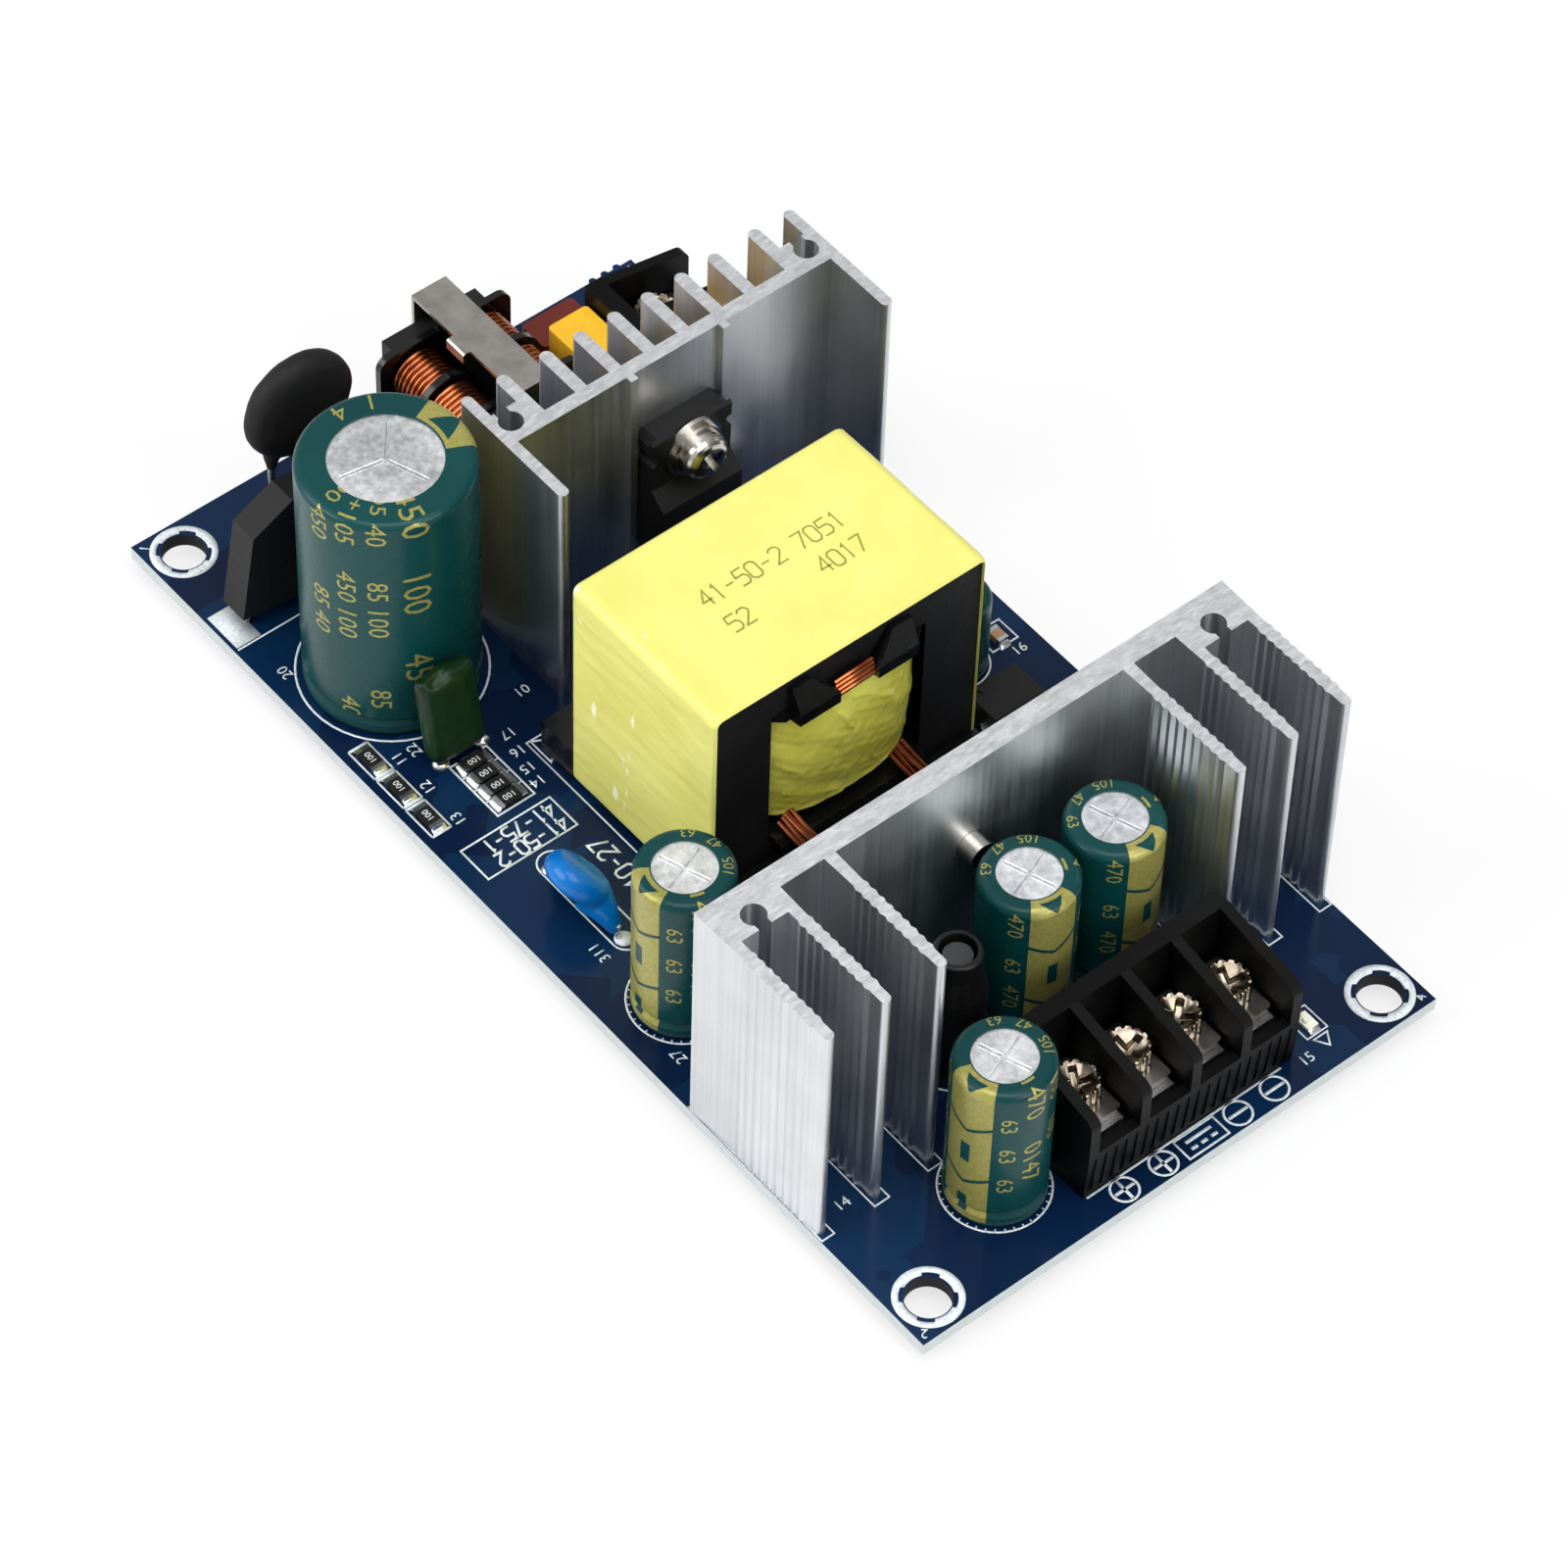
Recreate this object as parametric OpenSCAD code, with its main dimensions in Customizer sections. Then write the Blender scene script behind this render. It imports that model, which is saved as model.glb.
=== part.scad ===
// Open frame switching power supply on a printed circuit board.
// The origin is the middle of the board's four mounting holes, on its underside. X runs from the input end
// to the output end. Places on the board are given from its corner at the input end, in millimetres.

/* [Board] */
// Length of the circuit board
board_l = 125; // [125:1:140]
// Width of the circuit board
board_w = 65; // [65:1:75]
// Thickness of the circuit board
board_t = 1.6; // [1.2:0.1:2.4]
// Diameter of the mounting holes
mount_hole_d = 4.7; // [3.2:0.1:5]
// Distance of a mounting hole's centre from the board's edges
mount_hole_inset = 3.85; // [3.6:0.05:4.4]
// How far the trimmed leads stand out below the board
lead_tail = 2; // [1.8:0.1:3]
// Gap all round between a lead and its drilled hole
drill_gap = 0.15; // [0.1:0.01:0.25]
// Width of the solder fillet round a lead, on the underside
solder_w = 0.65; // [0.4:0.05:0.8]
// Height of the solder fillet
solder_h = 1.2; // [0.8:0.1:1.6]

/* [Output heatsink] */
// Height of the extrusion
out_sink_h = 30.6; // [24:0.2:36]
// Distance from the board's output end to the flat face
out_sink_setback = 34.55; // [33.5:0.05:35.5]
// Thickness of the base web
out_web_t = 2.52; // [2:0.02:3]
// Depth from the flat face to the fin tips
out_sink_depth = 19.15; // [17:0.05:19.5]
// Thickness of a fin
out_fin_t = 1.5; // [1.2:0.05:1.8]
// Middle of the second fin, from the side face
out_fin_2 = 7.5; // [7.2:0.05:8]
// Middle of the third fin, from the side face
out_fin_3 = 14.12; // [13.4:0.02:14.3]
// Pitch of the small ribs on the fins
rib_pitch = 1.15; // [0.9:0.05:1.6]
// Height of the small ribs
rib_h = 0.18; // [0.1:0.01:0.25]
// Smooth stretch beside the web, before the ribs start
rib_start = 6.6; // [4:0.1:9]

/* [Input heatsink] */
// Height of the extrusion
in_sink_h = 30.2; // [24:0.2:36]
// Width across the two side plates
in_sink_w = 42; // [41.8:0.1:42.6]
// Distance from the board's input end to the web
in_sink_x = 32.8; // [32.6:0.05:33.2]
// Gap between the heatsink and the board's long edge
in_sink_edge = 0.95; // [0.5:0.05:1.2]
// Thickness of the web
in_web_t = 1.6; // [1.2:0.05:2]
// Length of the comb fins, from the web
in_fin_l = 6.2; // [4.5:0.1:6.4]
// Thickness of a comb fin
in_fin_t = 1.45; // [1:0.05:1.8]
// Pitch of the comb fins
in_fin_pitch = 4.26; // [3.9:0.02:4.5]
// Number of comb fins
in_fin_count = 6; // [4:2:6]
// How far the side plates reach past the web
in_plate_l = 8.4; // [6:0.1:9]
// Thickness of the side plates
in_plate_t = 1.25; // [1:0.05:1.5]

/* [Keyhole channels and pegs] */
// Diameter of the keyhole channels
keyhole_d = 2.6; // [2.2:0.05:2.7]
// Width of a channel's slot
keyhole_slot = 1.5; // [1:0.05:1.7]
// Gap round a peg in its channel
peg_gap = 0.05; // [0.03:0.01:0.1]
// Length of a peg inside its channel
peg_l = 8; // [5:0.5:12]

/* [Transformer] */
// Distance from the board's input end to the transformer's middle
transformer_x = 63; // [62.8:0.1:64]
// Width of the ferrite core, along the board
core_w = 21.2; // [20:0.1:21.4]
// Length of the ferrite core, across the board
core_l = 33.1; // [31:0.1:33.5]
// Height of the two core halves together
core_h = 28.5; // [24:0.1:32]
// Height of the core above the board
core_seat = 1.3; // [1:0.1:2]
// Thickness of the core's end plates
core_plate = 4.5; // [3.5:0.1:5]
// Radius of the winding window
window_r = 14.3; // [13.8:0.05:14.6]
// Diameter of the core's middle post
post_d = 13.4; // [12:0.1:14]
// Wall of the bobbin
bobbin_t = 0.9; // [0.7:0.05:1.2]
// Greatest distance of the taped winding from its axis, along the board and across it
winding_r = 12.4; // [11:0.1:12.4]
// Thickness of the tape band round the core
tape_t = 0.35; // [0.1:0.05:0.5]
// Pitch of the transformer's pins
pin_pitch = 5.08; // [4:0.02:5.2]
// Number of pins on each side
pin_count = 6; // [4:2:6]

/* [Electrolytic capacitors] */
// Radius of the bulk capacitor, over its sleeve
bulk_r = 9.05; // [8:0.05:9.3]
// Height of the bulk capacitor
bulk_h = 31.4; // [25:0.2:35]
// Radius of an output capacitor, over its sleeve
out_cap_r = 5.05; // [4:0.05:5.3]
// Height of an output capacitor
out_cap_h = 20.5; // [16:0.5:25]
// Radius of the small feedback capacitor
small_cap_r = 3.15; // [2.5:0.05:3.3]
// Radius of the small supply capacitor
supply_cap_r = 2.5; // [2:0.05:2.6]
// Height of the small feedback capacitor
small_cap_h = 11; // [7:0.5:12.5]
// Height of the small supply capacitor
supply_cap_h = 8; // [7:0.5:12]
// Wall of the shrink sleeves
sleeve_t = 0.18; // [0.1:0.01:0.25]

/* [Screw terminals] */
// Pitch of the terminal cells
cell_pitch = 6.35; // [6.2:0.05:6.6]
// Thickness of the walls between cells
cell_wall = 1.2; // [1:0.05:1.3]
// Depth of a terminal from its back rail to its lip
terminal_depth = 12.8; // [12:0.1:12.8]
// Height of a terminal
terminal_h = 14; // [13.8:0.1:16]
// Thickness of the back rail
rail_t = 2; // [1.6:0.1:2.4]
// Height of the front lip
lip_h = 6.8; // [6.4:0.1:7.2]
// Height of the floor below the contacts
cell_floor = 6; // [5:0.1:6]
// Number of output cells
output_cells = 4; // [2:1:4]
// Number of input cells
input_cells = 2; // [2:1:2]
// Distance from the board's output end to the output terminal's lip
output_lip_setback = 3; // [2.6:0.1:3.4]
// Distance from the board's long edge to the input terminal's lip
input_lip_setback = 1.6; // [1.2:0.1:2]
// Diameter of the terminal screws' heads
clamp_head_d = 4.9; // [4:0.1:5]
// Diameter of the terminal screws' shanks
clamp_shank_d = 2.9; // [2.5:0.1:3]

/* [Input parts] */
// Diameter of the thermistor disc
thermistor_d = 12.9; // [10:0.1:13]
// Thickness of the thermistor disc
thermistor_t = 4.5; // [3.5:0.1:5]
// Height of the thermistor's middle above the board
thermistor_z = 17.9; // [12:0.1:20]
// Width of the bridge rectifier
bridge_w = 15; // [14:0.1:15]
// Height of the bridge rectifier
bridge_h = 14.4; // [11:0.1:15]
// Thickness of the bridge rectifier
bridge_t = 3.4; // [3:0.1:3.6]
// Lean of the bridge rectifier along the board's end
bridge_lean = 9; // [0:0.5:9]
// Length of the filter choke's core
choke_l = 16.6; // [15:0.1:16.8]
// Radius of the choke bobbins' flanges
choke_flange_r = 4.3; // [4:0.05:4.4]
// Distance of each coil's axis from the choke's middle
choke_coil_offset = 4.1; // [4:0.05:4.4]
// Height of the coil axes above the board
choke_axis_z = 9.3; // [8.5:0.1:9.8]
// Height of the choke's partition, which carries the clip
choke_partition_h = 15.6; // [15:0.1:17]
// Diameter of the choke's wire
choke_wire_d = 0.66; // [0.5:0.02:0.7]
// Length of the orange box capacitor
box_cap_l = 13; // [11:0.1:13.4]
// Thickness of the orange box capacitor
box_cap_w = 5.1; // [4:0.1:5.1]
// Height of the orange box capacitor
box_cap_h = 12; // [9:0.5:13]
// Height of the fuse
fuse_h = 8; // [6:0.5:9]

/* [Power semiconductors] */
// Width of a power package
package_w = 10.1; // [9.5:0.1:10.4]
// Height of a power package
package_h = 15.9; // [15:0.1:16.5]
// Thickness of its upper part, round the screw
package_tab_t = 2.7; // [2.2:0.1:3]
// Thickness of its body
package_t = 4.7; // [4.2:0.1:5]
// Height of the transistor's screw above the board
transistor_screw_z = 18.5; // [17:0.1:20]
// Height of the rectifier's screw above the board
rectifier_screw_z = 18.7; // [16:0.1:19.5]
// Lean of the transistor on its heatsink
transistor_lean = 1; // [0:0.1:1.2]
// Diameter of the package screws
screw_d = 3; // [2.5:0.1:3]
// Diameter of the package screws' heads
screw_head_d = 5.3; // [4.8:0.1:5.6]

/* [Hidden] */

$fn = 48;
eps = 0.01;
touch_gap = 0.02;

// Board places that several parts share
board_mid_y = board_w / 2;
transformer_y = board_mid_y + 0.3;
out_sink_x = board_l - out_sink_setback;
out_web_x = out_sink_x + out_web_t;
in_web_x = in_sink_x + in_web_t;
in_sink_y = board_w - in_sink_edge - in_sink_w / 2;
output_rail_x = board_l - output_lip_setback - terminal_depth;
input_rail_y = board_w - input_lip_setback - terminal_depth;

// Keyhole channels
out_keyhole_x = 3.55;
out_keyhole_y = 4.2;
out_block_l = 5.25;
in_keyhole_x = 0.9;
in_keyhole_y = in_sink_w / 2 - 2.35;
in_block_l = 2.65;
in_fork_y = in_sink_w / 2 - 5.08;
in_fork_l = in_fin_l + 0.1;
peg_d = keyhole_d - 2 * peg_gap;
peg_places = [
    [out_sink_x + out_keyhole_x, out_keyhole_y],
    [out_sink_x + out_keyhole_x, board_w - out_keyhole_y],
    [in_sink_x - in_keyhole_x, in_sink_y - in_keyhole_y],
    [in_sink_x - in_keyhole_x, in_sink_y + in_keyhole_y]];

// Electrolytic capacitors: middle on the board, radius, height, lead pitch, lead diameter
bulk_gap = 1.7;
bulk_place = [29, in_sink_y - in_sink_w / 2 - bulk_gap - 9.05];
bulk_pitch = 7.5;
bulk_lead_d = 0.8;
out_cap_places = [
    [board_l - 9.8, 17.1],
    [out_sink_x - 10.85, 7.85],
    [out_web_x + 7.33, board_mid_y + 0.4],
    [out_web_x + 7.28, board_mid_y + 11.2]];
out_cap_pitch = 5;
out_cap_lead_d = 0.6;
feedback_cap_place = [63.8, board_w - 9];
supply_cap_place = [in_web_x + 4.77, in_sink_y + 9.07];
small_cap_pitch = 2.5;
small_cap_lead_d = 0.5;
shoulder = 0.9;
groove_depth = 0.35;
seal_h = 1.6;

// Transformer
core_mid_z = core_seat + core_h / 2;
window_z0 = core_seat + core_plate;
window_z1 = core_seat + core_h - core_plate;
bobbin_gap = 0.15;
flange_r = window_r - 0.4;
flange_t = 1;
tube_r = post_d / 2 + bobbin_gap + bobbin_t;
rail_in = core_w / 2 + tape_t + 0.2;
rail_depth = 5;
rail_top = 4.6;
rail_bottom = 0.4;
pin_x = rail_in + rail_depth / 2;
pin_d = 0.8;
opening_half = sqrt(pow(window_r, 2) - pow(core_w / 2, 2));
hook_x = rail_in - 0.3;
hook_top = 28.7;
hook_out = 1.8;
hook_wall = 0.5;
hook_lip_h = 1.5;
hook_inner = [-2.7, 2.05];
hook_w = 5;
hook_root_w = 2.4;
winding_power = 2.9;
bundle_d = 0.7;
bundle_wires = 3;
bundle_pitch = bundle_d + 0.22;
bundle_starts = [-8.1, 5.9];
bundle_drift = 2.3;
strand_drop = 2.5;
winding_belly = 0.7;
tape_corner = 1.1;
transformer_pin_places = [for (side = [-1, 1], i = [0 : pin_count - 1])
    [transformer_x + side * pin_x, transformer_y + (i - (pin_count - 1) / 2) * pin_pitch]];

// Screw terminals
output_row = output_cells * cell_pitch + cell_wall;
input_row = input_cells * cell_pitch + cell_wall;
output_row_y = board_mid_y + 3.35;
input_row_x = 17.3;
contact_t = 0.8;
contact_w = 4;
contact_leg = 1;
contact_leg_y = rail_t + 1.6;
screw_y = 6.4;
clamp_t = 0.8;
clamp_w = 4.6;
clamp_l = 7.6;
clamp_z = cell_floor + contact_t + 0.05;
clamp_head_h = 2.2;
lip_t = 1.1;
wall_round = 1.2;
wall_drop = 2.2;
groove_w = 0.5;
groove_pitch = 1.3;
groove_t = 0.14;
front_slant = 0.4;

// Input parts
thermistor_place = [8, 15.9];
thermistor_pitch = 7.2;
thermistor_lead_d = 0.8;
bridge_place = [13.4, 1.9];
bridge_seat = 2.62;
bridge_pitch = 3.81;
bridge_lead_d = 0.8;
choke_place = [10.6, 36.6];
choke_yoke = 2;
choke_leg_w = 2.6;
choke_leg_h = 2.8;
choke_yoke_h = 6;
choke_wall = 0.7;
choke_base_z = 0.3;
choke_base_t = 1.3;
choke_tube_r = 2.3;
choke_flange_h = 7.2;
choke_flange_corner = 1.5;
choke_mid_flange_r = 3.6;
clip_t = 0.4;
clip_w = 4.4;
clip_shift = 0.4;
clip_tab = [2.8, 0.9, 1.3];
choke_pin_d = 0.7;
box_cap_place = [17.5, input_rail_y - 0.3 - box_cap_w / 2];
fuse_size = [4, 6.6];
fuse_place = [8.2, input_rail_y - 1.8];
fuse_pitch = 5.08;

// Power packages
package_top = 3.2;
package_tab_l = 6.9;
package_hole_d = 3.4;
package_leg_d = 0.8;
package_leg_pitch = 2.54;
package_leg_x = 2.6;
flat_washer_t = 0.5;
spring_washer_t = 0.7;
washer_d = 7;
screw_head_h = 2;
transistor_screw_tail = 3;
rectifier_screw_tail = 2.1;
screw_gap = 0.05;
transistor_y = in_sink_y;
rectifier_y = board_mid_y - 0.75;

// Small parts
film_place = [42, 9.35];
film_lead_place = [42, 9.9];
film_pitch = 5;
film_size = [3.4, 6.6, 11];
film_lean = -11.5;
disc_place = [64.6, 6.85];
disc_d = 8.2;
disc_t = 3.8;
disc_z = 4.5;
disc_lean = 40;
disc_lead_y = 7.6;
disc_pitch = 10.6;
disc_coat_turn = 130;
disc_coat_out = 3;
opto_place = [72, board_w - 9.8];
opto_size = [4.6, 6.4, 3.2];
opto_row = 7.62;
rod_place = [out_web_x + 8.43, board_mid_y - 9.2];
rod_r = 3.2;
rod_neck_r = 2.5;
rod_core_r = 1.5;
rod_h = 17.5;
rod_winding_top = 12.1;
rod_wall = 0.35;
rod_pitch = 3.6;
chip_size = [3.1, 1.6, 0.55];
chip_cap_l = 0.45;
resistor_row_x = [37.4, 42.05, 46.75];
resistor_row_y = 2.2;
resistor_column_x = [44, 45.9, 47.8, 49.65];
resistor_column_y = 10;
chip_capacitor_place = [63.9, board_w - 3.7];
lamp_place = [board_l - 5.7, board_mid_y + 20.7];
controller_place = [50, board_w - 9];
controller_size = [4.9, 3.9, 1.4];
controller_pitch = 1.27;

// Leads of each part: place and diameter, used by the leads, the drilled holes and the solder
bulk_leads = pair(bulk_place, bulk_pitch, 0);
out_cap_leads = [for (p = out_cap_places) each pair(p, out_cap_pitch, 90)];
small_leads = concat(pair(feedback_cap_place, small_cap_pitch, 0), pair(supply_cap_place, small_cap_pitch, 90));
thermistor_legs = pair(thermistor_place, thermistor_pitch, 90);
bridge_legs = [for (i = [-1.5 : 1 : 1.5])
    [bridge_place[0] + bridge_t / 2, bridge_place[1] + (bridge_w / 2 + i * bridge_pitch) * cos(bridge_lean)]];
choke_legs = [for (sx = [-1, 1], sy = [-1, 1])
    [choke_place[0] + sx * (choke_l / 2 - 2.6), choke_place[1] + sy * (choke_coil_offset + 1.4)]];
box_cap_legs = pair(box_cap_place, box_cap_l - 3, 0);
fuse_legs = pair(fuse_place, fuse_pitch, 90);
film_legs = pair(film_lead_place, film_pitch, 90);
disc_legs = pair([disc_place[0], disc_lead_y], disc_pitch, 0);
rod_legs = pair(rod_place, rod_pitch, 90);
opto_legs = [for (sx = [-1, 1], sy = [-1, 1]) [opto_place[0] + sx * 1.27, opto_place[1] + sy * opto_row / 2]];
transistor_drop = package_h - package_top;
transistor_legs = [for (i = [-1 : 1])
    [in_web_x + package_leg_x, transistor_y - transistor_drop * sin(transistor_lean) + i * package_leg_pitch]];
rectifier_legs = [for (i = [-1 : 1]) [out_sink_x - package_leg_x, rectifier_y + i * package_leg_pitch]];
contact_legs = concat(
    [for (i = [0 : output_cells - 1])
        [output_rail_x + contact_leg_y, output_row_y + (i - (output_cells - 1) / 2) * cell_pitch]],
    [for (i = [0 : input_cells - 1])
        [input_row_x + (i - (input_cells - 1) / 2) * cell_pitch, input_rail_y + contact_leg_y]]);
lead_groups = [
    [peg_places, peg_d], [bulk_leads, bulk_lead_d], [out_cap_leads, out_cap_lead_d],
    [small_leads, small_cap_lead_d], [thermistor_legs, thermistor_lead_d], [bridge_legs, bridge_lead_d],
    [choke_legs, choke_pin_d], [box_cap_legs, small_cap_lead_d], [fuse_legs, small_cap_lead_d],
    [film_legs, small_cap_lead_d], [disc_legs, small_cap_lead_d], [rod_legs, choke_pin_d],
    [opto_legs, small_cap_lead_d], [transistor_legs, package_leg_d], [rectifier_legs, package_leg_d],
    [contact_legs, contact_leg * sqrt(2)], [transformer_pin_places, pin_d]];

// Two leads either side of a place, on a line turned by an angle
function pair(p, pitch, turn) = [for (s = [-1, 1]) [p[0] + s * pitch / 2 * cos(turn), p[1] + s * pitch / 2 * sin(turn)]];

// Points of an arc about c, from angle a0 to a1
function arc(c, r, a0, a1, steps = 5) = [for (i = [0 : steps]) let (a = a0 + (a1 - a0) * i / steps)
    [c[0] + r * cos(a), c[1] + r * sin(a)]];

function unit(v) = v / norm(v);

// Half outline of a rounded lens of radius r and thickness t, on a squared ellipse
function lens_outline(r, t, steps = 14) = [for (i = [0 : steps]) let (a = -90 + 180 * i / steps)
    [r * pow(cos(a), 0.55), t / 2 * sin(a)]];

// Places children on the board's top face, at a place given from its corner at the input end
module on_board(p, z = 0) translate([p[0] - board_l / 2, p[1] - board_w / 2, board_t + z]) children();

// One straight round lead from a height above the board to its tip below
module lead(p, d, top) on_board(p, -board_t - lead_tail) cylinder(d = d, h = top + board_t + lead_tail);

// A wire along points: a ring of eight corners at each point, square to the bend
module wire(points, d, sides = 8) {
    n = len(points);
    rings = [for (i = [0 : n - 1]) let (
        before = i > 0 ? unit(points[i] - points[i - 1]) : unit(points[1] - points[0]),
        after = i < n - 1 ? unit(points[i + 1] - points[i]) : before,
        along = unit(before + after),
        side = unit(cross(along, [0.31, 0.17, 0.93])),
        up = cross(side, along))
        for (k = [0 : sides - 1]) points[i] + d / 2 * (cos(360 * k / sides) * side + sin(360 * k / sides) * up)];
    polyhedron(rings, concat(
        [[for (k = [0 : sides - 1]) sides - 1 - k]],
        [for (i = [0 : n - 2], k = [0 : sides - 1]) let (a = i * sides, m = (k + 1) % sides)
            [a + m, a + sides + m, a + sides + k, a + k]],
        [[for (k = [0 : sides - 1]) (n - 1) * sides + k]]));
}

module rounded_square(size, r) {
    square([size[0], size[1] - 2 * r], center = true);
    square([size[0] - 2 * r, size[1]], center = true);
    for (sx = [-1, 1], sy = [-1, 1]) translate([sx * (size[0] / 2 - r), sy * (size[1] / 2 - r)]) circle(r = r);
}

module rounded_box(size, r) linear_extrude(size[2]) rounded_square([size[0], size[1]], r);

// Circuit board with its mounting holes, drilled for every lead, and with the stubs of its panel tabs
module circuit_board() color([0.03, 0.12, 0.32]) difference() {
    union() {
        translate([-board_l / 2, -board_w / 2, 0]) cube([board_l, board_w, board_t]);
        for (i = [0 : 2]) translate([-board_l / 2, board_w / 2 - 1.9 - 1.6 * i, 0]) cylinder(r = 0.45, h = board_t);
    }
    for (sx = [-1, 1], sy = [-1, 1])
        translate([sx * (board_l / 2 - mount_hole_inset), sy * (board_w / 2 - mount_hole_inset), -1])
            cylinder(d = mount_hole_d, h = board_t + 2);
    for (group = lead_groups, p = group[0])
        on_board(p, -board_t - 1) cylinder(d = group[1] + 2 * drill_gap, h = board_t + 2, $fn = 24);
}

// Fillet of solder round each lead on the underside
module solder_joints() color([0.75, 0.76, 0.78]) for (group = lead_groups, p = group[0])
    let (r = group[1] / 2 + touch_gap)
    on_board(p, -board_t) rotate_extrude($fn = 24) polygon([
        [r, 0], [r + solder_w, 0], [r + solder_w * 0.45, -solder_h * 0.45], [r + 0.12, -solder_h], [r, -solder_h]]);

// One side of a fin as points along its length: smooth, then a row of triangular ribs
function ribbed_side(l, from) = [for (i = [0 : floor((l - from - 1.2) / rib_pitch) - 1])
    each [[from + i * rib_pitch, 0], [from + (i + 0.5) * rib_pitch, rib_h], [from + (i + 0.98) * rib_pitch, 0]]];

// A ribbed fin of length l along X, with a rounded tip
module fin(l, t) {
    ribs = ribbed_side(l, rib_start);
    n = len(ribs);
    polygon(concat(
        [[0, -t / 2]],
        [for (p = ribs) [p[0], -t / 2 + rib_h - p[1]]],
        [[l - t / 2, -t / 2 + rib_h], [l - t / 2, t / 2 - rib_h]],
        [for (i = [0 : n - 1]) let (p = ribs[n - 1 - i]) [p[0], t / 2 - rib_h + p[1]]],
        [[0, t / 2]]));
    translate([l - t / 2, 0]) circle(r = t / 2 - rib_h, $fn = 24);
}

// A smooth comb fin that starts inside the web and reaches l out of it, towards the input end
module plain_fin(l) {
    reach = l + in_web_t / 2 - in_fin_t / 2;
    translate([-reach, -in_fin_t / 2]) square([reach, in_fin_t]);
    translate([-reach, 0]) circle(d = in_fin_t, $fn = 24);
}

// Round channel with a slot, cut through an extrusion along its length
module keyhole(slot_l) {
    circle(d = keyhole_d);
    translate([0, -keyhole_slot / 2]) square([slot_l, keyhole_slot]);
}

// Output heatsink: a web across the board with three ribbed fins at each side
module out_sink_profile() {
    translate([0, out_fin_t / 2]) square([out_web_t, board_w - out_fin_t]);
    for (y = [out_fin_t / 2, out_fin_2, out_fin_3, board_w - out_fin_3, board_w - out_fin_2, board_w - out_fin_t / 2])
        translate([0, y]) fin(out_sink_depth, out_fin_t);
    for (y = [out_fin_t / 2, board_w - out_fin_2])
        translate([0, y]) square([out_block_l, out_fin_2 - out_fin_t / 2]);
}

module output_heatsink() color([0.8, 0.81, 0.83]) difference() {
    on_board([out_sink_x, 0]) linear_extrude(out_sink_h) difference() {
        out_sink_profile();
        for (y = [out_keyhole_y, board_w - out_keyhole_y]) translate([out_keyhole_x, y]) keyhole(out_block_l);
    }
    on_board([out_sink_x - 1, rectifier_y], rectifier_screw_z) rotate([0, 90, 0])
        cylinder(d = screw_d + 2 * screw_gap, h = out_web_t + 2);
}

// Input heatsink: a thin web with comb fins to one side, and a plate at each end that reaches past both sides
module in_sink_profile() {
    translate([0, -in_sink_w / 2]) square([in_web_t, in_sink_w]);
    for (side = [-1, 1]) {
        translate([-in_fin_l + in_plate_t / 2, side * (in_sink_w / 2 - in_plate_t / 2)]) {
            translate([0, -in_plate_t / 2]) square([in_fin_l + in_web_t + in_plate_l - in_plate_t, in_plate_t]);
            circle(d = in_plate_t, $fn = 24);
            translate([in_fin_l + in_web_t + in_plate_l - in_plate_t, 0]) circle(d = in_plate_t, $fn = 24);
        }
        translate([in_web_t / 2, side * in_fork_y]) plain_fin(in_fork_l);
        translate([-in_block_l, side > 0 ? in_fork_y : -in_sink_w / 2 + in_plate_t / 2])
            square([in_block_l + in_web_t / 2, in_sink_w / 2 - in_plate_t / 2 - in_fork_y]);
        translate([in_web_t - eps, side * 5.8 - 0.45]) square([0.8, 0.9]);
    }
    for (i = [0 : in_fin_count - 1])
        translate([in_web_t / 2, (i - (in_fin_count - 1) / 2) * in_fin_pitch]) plain_fin(in_fin_l);
}

module input_heatsink() color([0.78, 0.79, 0.8]) difference() {
    on_board([in_sink_x, in_sink_y]) linear_extrude(in_sink_h) difference() {
        in_sink_profile();
        for (side = [-1, 1]) translate([-in_keyhole_x, side * in_keyhole_y]) rotate(180) keyhole(in_block_l);
    }
    on_board([in_sink_x - in_fin_l - 1, transistor_y], transistor_screw_z) rotate([0, 90, 0])
        cylinder(d = screw_d + 2 * screw_gap, h = in_fin_l + in_web_t + 2);
}

// Pegs pressed into the keyhole channels and soldered below the board
module heatsink_pegs() color([0.72, 0.7, 0.65]) for (p = peg_places) lead(p, peg_d, peg_l);

// One half of the transformer's pot core, standing on its plate
module core_half() difference() {
    translate([-core_w / 2, -core_l / 2, 0]) cube([core_w, core_l, core_h / 2]);
    translate([0, 0, core_plate]) difference() {
        cylinder(r = window_r, h = core_h / 2, $fn = 96);
        cylinder(d = post_d, h = core_h);
    }
}

module transformer_core_lower() color([0.08, 0.08, 0.09])
    on_board([transformer_x, transformer_y], core_seat) core_half();

module transformer_core_upper() color([0.1, 0.1, 0.11])
    on_board([transformer_x, transformer_y], core_seat + core_h) mirror([0, 0, 1]) core_half();

// A hook on the bobbin's top flange that the wires pass behind: a wedge from a narrow root down to a wide lip
module wire_hook(y, side, z0) {
    reach = min(y, y + side * hook_w);
    root = side > 0 ? y + hook_w - hook_root_w : y - hook_w;
    hull() {
        translate([hook_x, root, z0]) cube([hook_wall, hook_root_w, hook_top - z0]);
        translate([hook_x, reach, z0]) cube([hook_wall, hook_w, flange_t]);
        translate([hook_x + hook_out - hook_wall, reach, z0 + 0.3]) cube([hook_wall, hook_w, hook_lip_h]);
    }
}

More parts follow.
